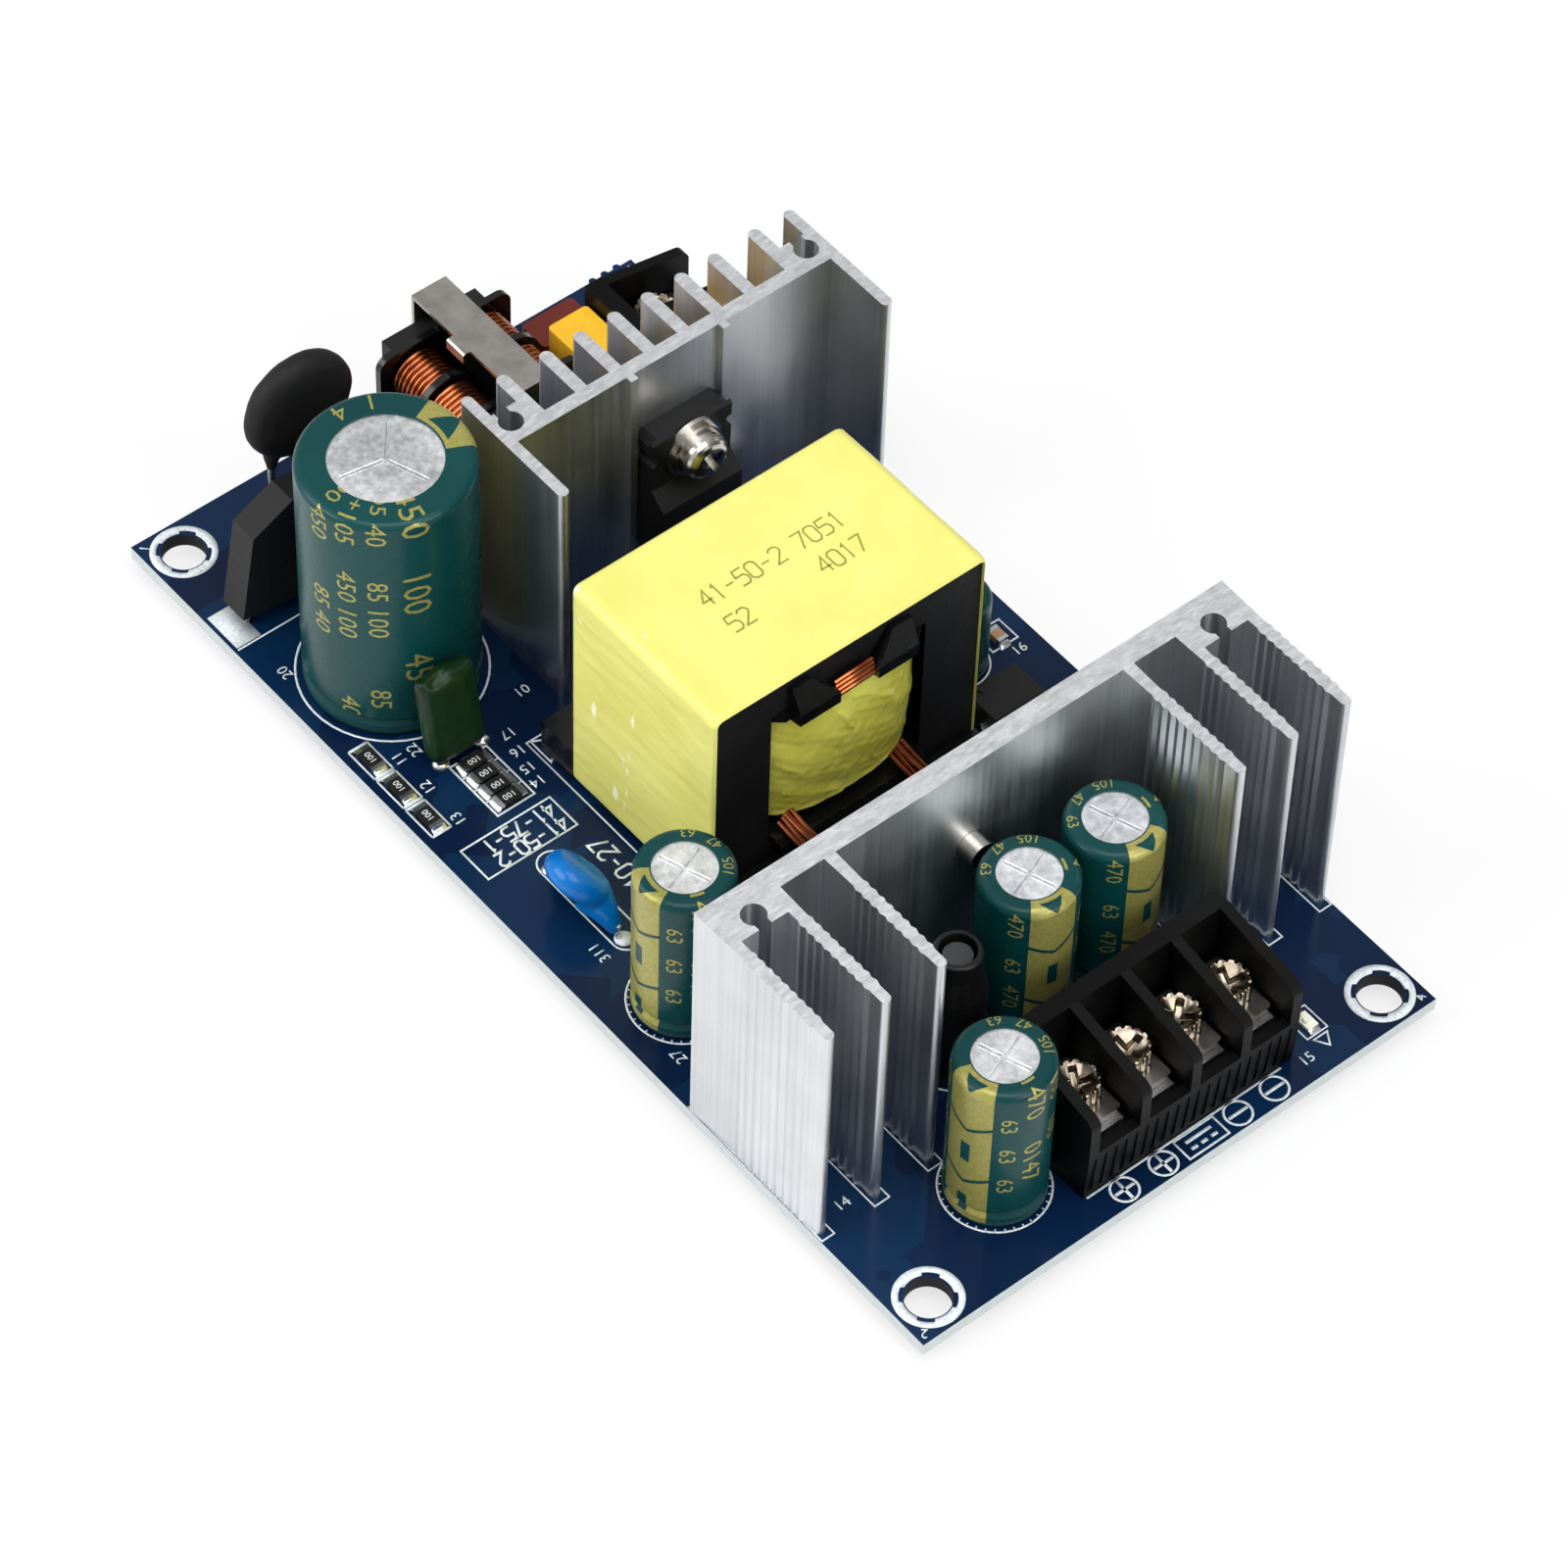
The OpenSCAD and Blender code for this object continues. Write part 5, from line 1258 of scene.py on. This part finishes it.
@dataclass
class WoundTape:
    """The taped winding: squarish, creased where the tape was pulled, closed to the bobbin's tube."""

    inner_r: float = 7.77
    belly: float = 0.7
    low_z: float = 7.8
    high_z: float = 24.05
    sides: int = 480
    rows: int = 90

    def build(self, film: Material) -> None:
        """Radius = reach / (|cos|^p + |sin|^p)^(1/p), with creases; rows run up outside, down inside.

        Args:
            film: the tape's finish.
        """
        turn = full_turn(self.sides)
        rise = np.linspace(0, 1, self.rows)[:, None]
        arc = turn[None, :] * WINDING_REACH
        z = self.low_z + (self.high_z - self.low_z) * rise
        power = WINDING_POWER
        squarish = (np.abs(np.cos(turn)) ** power + np.abs(np.sin(turn)) ** power) ** (-1 / power)
        radius = (WINDING_REACH - self.belly * (1 - np.sin(np.pi * rise))) * squarish[None, :]
        edge = np.clip(np.minimum(rise, 1 - rise) / 0.06, 0, 1)
        pulled = np.abs(np.sin(0.55 * arc + 0.42 * z + 1.3 * crumple(arc * 0.4, z * 0.4, 9.0, 14)))
        folds = (1 - pulled) ** 3 * (0.4 + 0.6 * crumple(arc, z, 13.0, 15))
        crease = 0.1 * crumple(arc * 0.7, z, 4.2, 11) + 0.3 * folds
        roll = 0.3 * np.exp(-((rise - 0.035) / 0.02) ** 2)
        radius = radius - 0.18 + (crease + roll) * edge - 0.4 * (1 - edge) ** 2
        radius = np.concatenate([radius, np.full((2, self.sides), self.inner_r)])
        z = np.concatenate([z, [[self.high_z], [self.low_z]]])
        mesh = PieceMesh()
        mesh.grid(round_axis(TRANSFORMER, radius, turn, z), around=True, along=True)
        ride(mesh.build("wound_tape", (film,), 50.0), "winding_tape", "transformer_winding")


@dataclass
class CopperBundles:
    """Bundles of enamelled wire that leave the winding, cross the bobbin's rail and go down to its pins."""

    rail_x: float = 11.15
    wire_r: float = 0.26
    sides: int = 10
    strands: int = 5
    strand_pitch: float = 0.44
    starts: tuple = (-7.2, 6.8)
    hooked: int = 4

    def bundle(self, mesh: PieceMesh, y: float) -> None:
        """One bundle: wires side by side, each turning slowly round the bundle's path.

        Args:
            mesh: the wires so far.
            y: where it leaves the winding, across the board.
        """
        x = WINDING_REACH * (1 - abs(y / WINDING_REACH) ** WINDING_POWER) ** (1 / WINDING_POWER)
        rail = self.rail_x
        path = smooth_path([
            (x - 0.5, y - 0.3, 8.9), (max(x + 0.45, rail + 1.2), y + 0.35, 7.4), (rail + 2.7, y + 1.15, 6.0),
            (rail + 4.3, y + 1.8, 5.35), (rail + 5.2, y + 2.1, 4.2), (rail + 5.3, y + 2.2, 2.4),
            (rail + 5.25, y + 2.3, 0.6)], 60) + np.array([*TRANSFORMER, 0.0])
        side, up = across_path(path, (1.0, 0.2, 0.3))
        travel = np.linspace(0, 1, len(path))
        for index in range(self.strands):
            across = (index - (self.strands - 1) / 2) * self.strand_pitch
            sway = 0.1 * np.sin(travel * 5.0 + index * 1.9)
            rise = 0.1 * np.cos(travel * 6.0 + index * 2.3)
            mesh.tube(path + side * (across + sway)[:, None] + up * rise[:, None], self.wire_r, self.sides)

    def build(self, copper: Material) -> None:
        """Both bundles and the strands that lie behind the hooks.

        Args:
            copper: the wires' finish.
        """
        mesh = PieceMesh()
        for start in self.starts:
            self.bundle(mesh, start)
        for index in range(self.hooked):
            x, z = self.rail_x + 0.36 + 0.2 * index, 26.45 - 0.42 * index
            bow = smooth_path([(x, -2.62, z - 0.25), (x + 0.15, -0.6, z + 0.1), (x, 1.97, z)], 16)
            mesh.tube(bow + np.array([*TRANSFORMER, 0.0]), self.wire_r, self.sides)
        ride(mesh.build("copper_bundles", (copper,)), "copper_wire", "transformer_leads")


@dataclass
class DippedPart:
    """A part dipped in resin: its body and the coats that run down its leads, melted into one skin.

    The skin wanders by up to `uneven` millimetres, in a way that the seed fixes.
    """

    name: str
    slot: str
    node: str
    uneven: float
    seed: int
    voxel: float = 0.16
    rounds: int = 6
    swell_pitch: float = 6.0

    def melt(self, mesh: PieceMesh, material: Material) -> None:
        """Joins the overlapping shapes into one smooth skin and makes the piece.

        Args:
            mesh: the raw shapes.
            material: the coating.
        """
        raw = mesh.build(self.name + "_raw", (material,))
        merge = raw.modifiers.new("merge", "REMESH")
        merge.mode = "VOXEL"
        merge.voxel_size = self.voxel * MM
        even = raw.modifiers.new("even", "SMOOTH")
        even.factor = 0.6
        even.iterations = self.rounds
        skin = shown(raw)
        skin.name = self.name
        old = raw.data
        bpy.data.objects.remove(raw)
        bpy.data.meshes.remove(old)
        places, normals = (np.empty(len(skin.vertices) * 3, dtype=np.float32) for _ in range(2))
        skin.vertices.foreach_get("co", places)
        skin.vertex_normals.foreach_get("vector", normals)
        places, normals = places.reshape(-1, 3), normals.reshape(-1, 3)
        flow = crumple(places[:, 0] / MM + places[:, 1] / MM, places[:, 2] / MM, self.swell_pitch, self.seed)
        places = places + normals * (flow * self.uneven * MM)[:, None]
        skin.vertices.foreach_set("co", places.astype(np.float32).ravel())
        skin.shade_smooth()
        skin.materials.clear()
        skin.materials.append(material)
        skin.update()
        ride(placed(self.name, skin), self.slot, self.node)


def lens(radius: float, thick: float) -> np.ndarray:
    """Profile of a rounded lens: radius = r sqrt(cos a), height = t/2 sin(a), for a of -90 to 90 degrees."""
    a = np.linspace(-np.pi / 2, np.pi / 2, 20)
    return np.stack([radius * np.maximum(np.cos(a), 0.0) ** 0.5, thick / 2 * np.sin(a)], axis=1)


def signed_power(wave: np.ndarray, power: float) -> np.ndarray:
    """The size of each value raised to a power, with the value's sign."""
    return np.sign(wave) * np.abs(wave) ** power


@dataclass
class Coatings:
    """The three dipped parts: thermistor, safety disc and film capacitor."""

    thermistor: tuple = (8.0, 15.9, 17.9)
    disc: tuple = (64.6, 6.85, 4.5)
    disc_lean: float = 40.0
    film: tuple = (42.0, 9.35, 1.0)
    film_lean: float = -11.5
    film_h: float = 10.7

    def turned_lens(self, mesh: PieceMesh, size: tuple, centre: tuple, order: tuple,
                    lean: float = 0.0) -> None:
        """Adds a lens.

        Args:
            mesh: the shapes so far.
            size: its radius and thickness.
            centre: its centre.
            order: the axes as the board's x, y and z take them from the lens, whose own axis is the last.
            lean: an angle that it leans by about the board's length.
        """
        raw = PieceMesh()
        raw.lathe(lens(*size), (0.0, 0.0, 0.0), 72)
        points = turned(raw.points[0][:, order], lean, 1, 2)
        mesh.add(points + np.array(centre), [face[::-1] for face in raw.faces])

    def build_thermistor(self, coat: Material) -> None:
        """A thick black disc across the board, its coat drawn down both leads.

        Args:
            coat: the coating's finish.
        """
        mesh = PieceMesh()
        x, y, z = self.thermistor
        self.turned_lens(mesh, (6.4, 4.2), self.thermistor, (2, 1, 0))
        for side in (-1, 1):
            path = [(x, y + side * 3.0, z - 3.4), (x, y + side * 3.45, z - 5.2), (x, y + side * 3.6, z - 7.3)]
            mesh.tube(smooth_path(path, 14), np.linspace(1.5, 0.5, 14) ** 1.2, 16)
        DippedPart("thermistor_coat", "coating_black", "thermistor_disc", 0.05, 21).melt(mesh, coat)

    def build_disc(self, coat: Material) -> None:
        """A blue disc that leans out over the board's edge, with long legs of coating.

        Args:
            coat: the coating's finish.
        """
        mesh = PieceMesh()
        x, y, z = self.disc
        self.turned_lens(mesh, (3.75, 3.4), self.disc, (0, 2, 1), self.disc_lean)
        for side, start, end in ((-1, 1.5, 0.42), (1, 2.15, 0.6)):
            path = [(x + side * 1.6, y + 0.3, z - 0.8), (x + side * 3.6, y + 0.6, z - 2.2),
                    (x + side * 5.2, y + 0.75, z - 3.75)]
            mesh.tube(smooth_path(path, 18), np.linspace(start, end, 18), 20)
        DippedPart("disc_coat", "coating_blue", "disc_capacitor", 0.03, 22, rounds=16).melt(mesh, coat)

    def build_film(self, coat: Material) -> None:
        """A leaning green pillow with an uneven ridge along its top: x follows |cos|^a and y |sin|^b.

        Args:
            coat: the coating's finish.
        """
        mesh = PieceMesh()
        turn = full_turn(48)
        rise = np.linspace(0, 1, 44)[:, None]
        swell = np.clip(np.minimum(rise / 0.14, (1 - rise) / 0.12), 0, 1)
        swell = np.sqrt(1 - (1 - swell) ** 2)
        half_x = 1.68 * swell * (1.0 - 0.14 * rise)
        half_y = np.maximum(3.3 * (0.8 + 0.2 * swell) * (swell > 0), 0.05)
        x = half_x * signed_power(np.cos(turn), 0.75)
        y = half_y * signed_power(np.sin(turn), 0.55)
        ridge = 0.3 * crumple(y, np.zeros_like(y), 3.2, 31) * rise ** 6
        height = self.film_h * rise + ridge - 0.2
        lean = math.radians(self.film_lean)
        points = np.stack([
            self.film[0] + x * math.cos(lean) + height * math.sin(lean),
            self.film[1] + y,
            self.film[2] - x * math.sin(lean) + height * math.cos(lean)], axis=-1)
        mesh.grid(points, around=True)
        ring = list(range(len(turn)))
        mesh.add(points[0], [ring[::-1]])
        mesh.add(points[-1], [ring])
        for side in (-1, 1):
            start = (self.film[0] - 0.2, self.film[1] + side * 2.3, self.film[2] + 1.4)
            end = (self.film[0], self.film[1] + 0.55 + side * 2.5, 0.75)
            mesh.tube(np.linspace(start, end, 8), np.linspace(0.95, 0.4, 8), 14)
        DippedPart("film_coat", "coating_green", "film_capacitor", 0.03, 23, 0.14, 5).melt(mesh, coat)


@dataclass
class SolderWork:
    """Solder on the board's top face: fillets at the chips' ends, and domes round a few leads."""

    reach: float = 0.55
    resistor: tuple = (3.1, 1.6, 0.5)
    chip_capacitor: tuple = ((63.9, 61.3), (2.0, 1.25, 0.7))
    indicator: tuple = ((119.3, 53.2), (2.0, 1.2, 0.35))
    domes: tuple = ((42.0, 7.4), (42.0, 12.4), (59.3, 7.6))
    dome_size: tuple = (0.95, 0.62)

    def fillet(self, mesh: PieceMesh, centre: tuple, size: tuple, turn: float = 0.0) -> None:
        """A hollow slope against each end of a chip: height = tall (1 - s) ^ 1.7 at a share s of its reach.

        Args:
            mesh: the solder so far.
            centre: the chip's centre.
            size: the chip's length and width and the slope's height.
            turn: the chip's angle in degrees.
        """
        length, width, tall = size
        s = np.linspace(0, 1, 9)[:, None]
        across = np.linspace(-1, 1, 13)[None, :]
        outward = length / 2 - 0.06 + self.reach * s * (1 - 0.12 * across ** 4)
        height = tall * (1 - s) ** 1.7 * (1 - 0.25 * across ** 4) + 0.02
        y = np.broadcast_to(across * width / 2 * 1.02, outward.shape)
        for side in (-1, 1):
            local = np.stack([side * outward, y * side, height], axis=-1)
            base = local[::-1].copy()
            base[..., 2] = 0.0
            shell = np.concatenate([local, base[:1], base[-1:]], axis=0)
            mesh.grid(turned(shell, turn) + np.array([*centre, 0.0]), along=True)

    def dome(self, mesh: PieceMesh, centre: tuple) -> None:
        """A dome of solder: height = tall cos(a), radius = r sin(a).

        Args:
            mesh: the solder so far.
            centre: the lead's place.
        """
        radius, tall = self.dome_size
        a = np.linspace(0.03, 1, 10) * np.pi / 2
        profile = np.stack([radius * np.sin(a), tall * np.cos(a)], axis=1)[::-1]
        mesh.lathe(profile, (*centre, 0.01), 28)

    def build(self, solder: Material) -> None:
        """Makes all the solder on top.

        Args:
            solder: the solder's finish.
        """
        mesh = PieceMesh()
        for centre in CHIP_ROW:
            self.fillet(mesh, centre, self.resistor)
        for centre in CHIP_COLUMN:
            self.fillet(mesh, centre, self.resistor, 90.0)
        self.fillet(mesh, *self.chip_capacitor)
        self.fillet(mesh, *self.indicator)
        for centre in self.domes:
            self.dome(mesh, centre)
        ride(mesh.build("top_solder", (solder,), 50.0), "solder")


@dataclass
class ScrewThread:
    """The end of the rectifier's screw beyond its heatsink, with its thread."""

    start: tuple = (92.97, 31.75, 18.7)
    length: float = 2.1
    radius: float = 1.52
    pitch: float = 0.5
    depth: float = 0.3
    taper: float = 1.2

    def build(self, metal: Material) -> None:
        """Radius = r - depth times a triangle wave of the distance less the turn's share of the pitch.

        Args:
            metal: the screw's finish.
        """
        turn = full_turn(40)
        run = np.linspace(0, self.length, 56)[:, None]
        phase = (run / self.pitch - turn[None, :] / (2 * np.pi)) % 1.0
        radius = self.radius - self.depth * np.abs(2 * phase - 1)
        radius = radius * np.clip(0.8 + (self.length - run) / self.taper, 0, 1)
        radius = np.concatenate([radius, np.zeros((1, len(turn)))])
        x = self.start[0] + np.concatenate([run, [[self.length]]])
        mesh = PieceMesh()
        mesh.grid(np.roll(round_axis(self.start[1:], radius, turn, x), 1, axis=-1), around=True)
        ride(mesh.build("screw_thread", (metal,), 30.0), "nickel_steel")


@dataclass
class TerminalScrews:
    """The terminals' screws: a notched rim round a bowl with a cross in it, on a plain shank."""

    places: tuple = (*((115.6, y) for y in (26.33, 32.68, 39.03, 45.38)), (20.48, 57.0), (14.13, 57.0))
    seat_z: float = 7.66
    edge_r: float = 2.2
    head_r: float = 2.42
    shank_r: float = 1.43
    shank_end: float = 2.5
    teeth: int = 14
    tooth: float = 0.2
    turn_deg: float = 25.0
    bowl_r: float = 2.0
    bowl_z: float = 1.15
    bowl_rise: float = 0.7
    cross_half: float = 0.42
    cross_end: float = 1.75
    cross_deep: float = 0.75

    def head(self, centre: tuple, seed: int) -> np.ndarray:
        """Rows of rings from the shank's end round the rim and in over the bowl.

        The rim's radius is r - d times (0.5 + 0.5 cos(teeth a)) cubed. The bowl's height is its floor plus a
        slope that grows with the square of the radius, less the cross, whose walls are smooth steps.

        Args:
            centre: the screw's place.
            seed: the screw's number, which turns its cross.

        Returns:
            An array of rings by corners by 3.
        """
        turn = full_turn(168)
        notch = self.tooth * (0.5 + 0.5 * np.cos(self.teeth * turn + seed)) ** 3
        seat = self.seat_z
        side = (
            (0.02, self.shank_end), (self.shank_r, self.shank_end), (self.shank_r, seat), (self.edge_r, seat),
            (self.head_r, seat + 0.25), (self.head_r, seat + 1.7), (2.36, seat + 1.95),
            (self.edge_r, seat + 2.02))
        radii = [r - notch * (r >= self.edge_r) for r, _ in side]
        heights = [z - notch * (z > seat + 1.9) for _, z in side]
        for r in np.linspace(self.bowl_r, 0.0, 30):
            angle = turn + math.radians(self.turn_deg) + seed
            across = np.minimum(np.abs(r * np.cos(angle)), np.abs(r * np.sin(angle)))
            cross = np.clip((self.cross_half - across) / 0.14, 0, 1)
            cross *= np.clip((self.cross_end - r) / 0.2, 0, 1)
            share = r / self.bowl_r
            floor = seat + self.bowl_z + self.bowl_rise * share ** 2 + 0.06 * np.sin(5 * turn + seed) * share
            radii.append(np.full_like(turn, r))
            heights.append(floor - self.cross_deep * cross)
        return round_axis(centre, np.array(radii), turn, np.array(heights))

    def build(self, metal: Material) -> None:
        """Makes all the screws.

        Args:
            metal: the screws' finish.
        """
        mesh = PieceMesh()
        for seed, place in enumerate(self.places):
            mesh.grid(self.head(place, seed), around=True)
        ride(mesh.build("terminal_screw_heads", (metal,), 45.0), "nickel_steel", "terminal_screws")


@dataclass
class VentRidges:
    """Pressed lines on the tops of the cans, each a pair of low ridges."""

    cans: tuple = ((BULK_CAN, 9.05, 31.2, 3), *((centre, 5.05, 20.3, 4) for centre in OUTPUT_CANS))
    first_deg: float = 20.0
    apart: float = 0.24
    half_w: float = 0.13
    rise: float = 0.06
    sink: float = 0.03

    def build(self, metal: Material) -> None:
        """Each ridge is a low roof along its line.

        Args:
            metal: the cans' finish.
        """
        mesh = PieceMesh()
        across = np.array([-self.half_w, 0.0, self.half_w])[None, :, None]
        for centre, radius, top, vents in self.cans:
            run = np.linspace(0.3, radius * 0.55, 12)[:, None, None]
            high = np.broadcast_to(top + np.array([-self.sink, self.rise, -self.sink]), (len(run), 3))
            for index in range(vents):
                way, side = turned(np.eye(2), index * 360 / vents + self.first_deg)
                for apart in (-self.apart, self.apart):
                    flat = np.array(centre) + way * run + side * (apart + across)
                    mesh.grid(np.dstack([flat, high]), flip=True)
        ride(mesh.build("vent_ridges", (metal,), 80.0), "can_aluminium")


@dataclass
class TapeNumbers:
    """Plain numbers in thin lines on the transformer's tape, faded."""

    rows: tuple = (("41-50-2 7051", (62.35, 24.4)), ("52", (66.4, 24.6)), ("4017", (66.1, 36.0)))
    top: float = 30.2
    tall: float = 2.1
    line: float = 0.17

    def build(self, ink: Material) -> None:
        """Each row reads across the board, with its top towards the input end.

        Args:
            ink: the numbers' finish.
        """
        mesh = PieceMesh()
        for body, start in self.rows:
            for edges in thin_numbers(body, self.tall, self.line):
                across = np.stack([start[0] - edges[..., 1], start[1] + edges[..., 0]], axis=-1)
                mesh.grid(at_height(across, self.top))
        ride(mesh.build("tape_numbers", (ink,)), "tape_yellow")


@dataclass
class ChipNumbers:
    """Plain white numbers on the chip resistors."""

    body: str = "100"
    size: float = 1.0
    top: float = 0.57

    def build(self, ink: Material) -> None:
        """Prints one number on each chip, turned half round on the row and a quarter round on the column.

        Args:
            ink: the numbers' finish.
        """
        mesh = PieceMesh()
        points, faces = flat_text(self.body, self.size)
        across = np.stack([points[:, 1], -points[:, 0]], axis=1)
        for centres, marks in ((CHIP_ROW, -points), (CHIP_COLUMN, across)):
            for centre in centres:
                mesh.add(at_height(np.array(centre) + marks, self.top), faces)
        ride(mesh.build("chip_numbers", (ink,)), "package_black")


@dataclass
class Viewpoint:
    """The photograph's camera, found from the board's corners and the capacitors' axes."""

    place: tuple = (384.922, -245.908, 523.473)
    right: tuple = (0.63474, 0.77239, 0.02293)
    down: tuple = (0.60968, -0.48236, -0.62898)
    ahead: tuple = (-0.47476, 0.41322, -0.77708)
    focal_px: float = 6939.2
    frame_px: float = 1600.0
    sensor: float = 36.0
    clip: tuple = (0.01, 20.0)

    def build(self) -> None:
        """Makes the camera and gives it to the scene."""
        data = bpy.data.cameras.new("camera")
        data.sensor_width = self.sensor
        data.lens = self.focal_px / self.frame_px * self.sensor
        data.clip_start, data.clip_end = self.clip
        camera = placed("camera", data)
        place = (np.array(self.place) - ORIGIN) * MM
        sides = np.column_stack([self.right, -np.array(self.down), -np.array(self.ahead), place])
        camera.matrix_world = Matrix([*sides.tolist(), (0.0, 0.0, 0.0, 1.0)])
        bpy.context.scene.camera = camera


@dataclass
class Lamp:
    """One soft box: where it stands, how large it is and how strong."""

    name: str
    place: tuple
    size: tuple
    watts: float
    aim: tuple = (0.0, 0.0, 0.01)

    def build(self) -> None:
        """Makes the area light and turns it to its aim."""
        data = bpy.data.lights.new(self.name, "AREA")
        data.shape = "RECTANGLE"
        data.size, data.size_y = self.size
        data.energy = self.watts
        lamp = placed(self.name, data)
        lamp.location = self.place
        lamp.rotation_euler = (Vector(self.aim) - lamp.location).to_track_quat("-Z", "Y").to_euler()


@dataclass
class Studio:
    """Plain pale floor, soft boxes, and a room that the camera sees as white and bright metal as a stronger
    slope from bright to dim.
    """

    floor_z: float = -0.002
    floor_reach: float = 3.0
    floor_grey: float = 0.82
    floor_glow: float = 0.72
    bright_way: tuple = (-0.42, -0.5, 0.75)
    dim: tuple = (0.2, 0.2, 0.205, 1.0)
    bright: tuple = (0.72, 0.72, 0.72, 1.0)
    white: tuple = (1.0, 1.0, 1.0, 1.0)
    room_strength: float = 0.6
    glossy_strength: float = 0.95
    lamps: tuple = (
        Lamp("key", (-0.45, -0.8, 0.6), (0.8, 0.7), 7.7),
        Lamp("top", (0.2, -0.1, 1.0), (0.8, 0.8), 6.8),
        Lamp("side", (0.8, 0.1, 0.45), (0.5, 0.6), 4.0),
    )

    def world(self) -> None:
        """The room: white to the camera, a slope from bright to dim for everything else."""
        world = bpy.data.worlds.new("room")
        bpy.context.scene.world = world
        net = Network(world, "World")
        way = net.add("TexCoord", {}, "Generated")
        facing = net.add("VectorMath", {0: way, 1: self.bright_way}, "Value", operation="DOT_PRODUCT")
        share = net.add("MapRange", {0: facing, "From Min": -0.9, "From Max": 0.9})
        slope = net.ramp(share, (0.25, self.dim), (0.9, self.bright))
        room = net.add("Background", {"Color": slope, "Strength": self.room_strength})
        shine = net.add("Background", {"Color": slope, "Strength": self.glossy_strength})
        white = net.add("Background", {"Color": self.white})
        rays = net.add("LightPath", {}).node.outputs
        lit = net.add("MixShader", {0: rays["Is Glossy Ray"], 1: room, 2: shine})
        through = net.maths("MAXIMUM", rays["Is Camera Ray"], rays["Is Transmission Ray"])
        net.fill(net.output, {0: net.add("MixShader", {0: through, 1: lit, 2: white})})

    def floor(self) -> None:
        """A wide pale floor that keeps part of the object's shadow."""
        material = bpy.data.materials.new("pale_floor")
        net = Network(material, "Material")
        paper = net.add("BsdfDiffuse", {"Color": (*(self.floor_grey,) * 3, 1.0)})
        glow = net.add("Emission", {"Color": self.white})
        share = net.maths("MULTIPLY", net.add("LightPath", {}, "Is Camera Ray"), self.floor_glow)
        net.fill(net.output, {0: net.add("MixShader", {0: share, 1: paper, 2: glow})})
        mesh = bpy.data.meshes.new("floor")
        reach, z = self.floor_reach, self.floor_z
        corners = [(-reach, -reach, z), (reach, -reach, z), (reach, reach, z), (-reach, reach, z)]
        mesh.from_pydata(corners, [], [(0, 1, 2, 3)])
        mesh.materials.append(material)
        placed("floor", mesh)

    def build(self) -> None:
        """Sets up the room, the floor and the lamps."""
        self.world()
        self.floor()
        for lamp in self.lamps:
            lamp.build()
        bpy.context.scene.view_settings.view_transform = "Standard"


BULK_NUMBERS = (
    (-17.0, ("450", "100", "45"), 1.7, 4.2), (-20.9, ("105 40", "85 100", "85"), 1.4, 3.0),
    (-24.1, ("40+105", "450 100", "40"), 1.5, 3.0), (-27.2, ("100 450", "85 40"), 2.2, 3.0),
    (8.0, ("450",), 6.0, 3.6))
OUTPUT_NUMBERS = (
    (4.1, ("63", "63", "63"), 5.6, 2.3), (6.7, ("1470", "0147"), 2.4, 3.0), (9.4, ("105", "105"), 3.0, 2.3),
    (-4.1, ("470", "63", "470"), 3.4, 2.3))
OUTPUT_RING = ((150.0, "105"), (195.0, "47"), (235.0, "63"))
OUTPUT_FACINGS = (-81.0, -97.0, -9.0, 5.0)
FEEDBACK_NUMBERS = ((3.0, ("50", "50"), 2.4, 1.3),)


def print_sleeves(gold: Material, film: Material, small_film: Material) -> None:
    """Prints the stripes and plain numbers on the capacitors.

    Args:
        gold: the ink.
        film: the large sleeves' film, for the dark signs on the stripe.
        small_film: the small sleeves' film.
    """
    bulk = Sleeve(BULK_CAN, 9.05, 31.4, 88.0, 25.0)
    SleevePrint("bulk_print", bulk, BULK_NUMBERS, ((66.0, "1"), (92.0, "4")), 0.01).build(gold, film)
    for index, (centre, facing) in enumerate(zip(OUTPUT_CANS, OUTPUT_FACINGS), 1):
        sleeve = Sleeve(centre, 5.05, 20.5, facing, 30.0)
        SleevePrint(f"output_print_{index}", sleeve, OUTPUT_NUMBERS, OUTPUT_RING).build(gold, film)
    feedback = Sleeve(FEEDBACK_CAN, 3.15, 11.0, 150.0, 26.0)
    SleevePrint("feedback_print", feedback, FEEDBACK_NUMBERS).build(gold, small_film)


def dress_nodes(nodes: dict, finishes: dict) -> None:
    """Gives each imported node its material.

    Args:
        nodes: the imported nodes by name.
        finishes: the materials by name.
    """
    for finish, names in NODE_FINISHES.items():
        for name in names:
            node = nodes[name]
            if not node.material_slots:
                node.data.materials.append(None)
            for slot in node.material_slots:
                slot.material = finishes[finish]
        LOG.info("%s: %s", finish, ", ".join(names))


def main() -> None:
    """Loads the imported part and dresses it."""
    logging.basicConfig(level=logging.INFO, format="%(message)s")
    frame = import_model()
    Viewpoint().build()
    Studio().build()
    finishes = {finish.name: finish.make() for finish in FINISHES}
    dress_nodes(frame["nodes"], finishes)
    BoardPrint().build(finishes["white_print"])
    print_sleeves(finishes["gold_print"], finishes["teal_sleeve"], finishes["small_sleeves"])
    CoreTape().build(finishes["yellow_tape"])
    WoundTape().build(finishes["crinkled_tape"])
    CopperBundles().build(finishes["enamelled_copper"])
    coatings = Coatings()
    coatings.build_thermistor(finishes["black_coat"])
    coatings.build_disc(finishes["blue_coat"])
    coatings.build_film(finishes["green_coat"])
    SolderWork().build(finishes["bright_solder"])
    ScrewThread().build(finishes["nickel_plate"])
    TerminalScrews().build(finishes["bowl_nickel"])
    VentRidges().build(finishes["etched_aluminium"])
    TapeNumbers().build(finishes["faded_print"])
    ChipNumbers().build(finishes["white_print"])


if __name__ == "__main__":
    main()
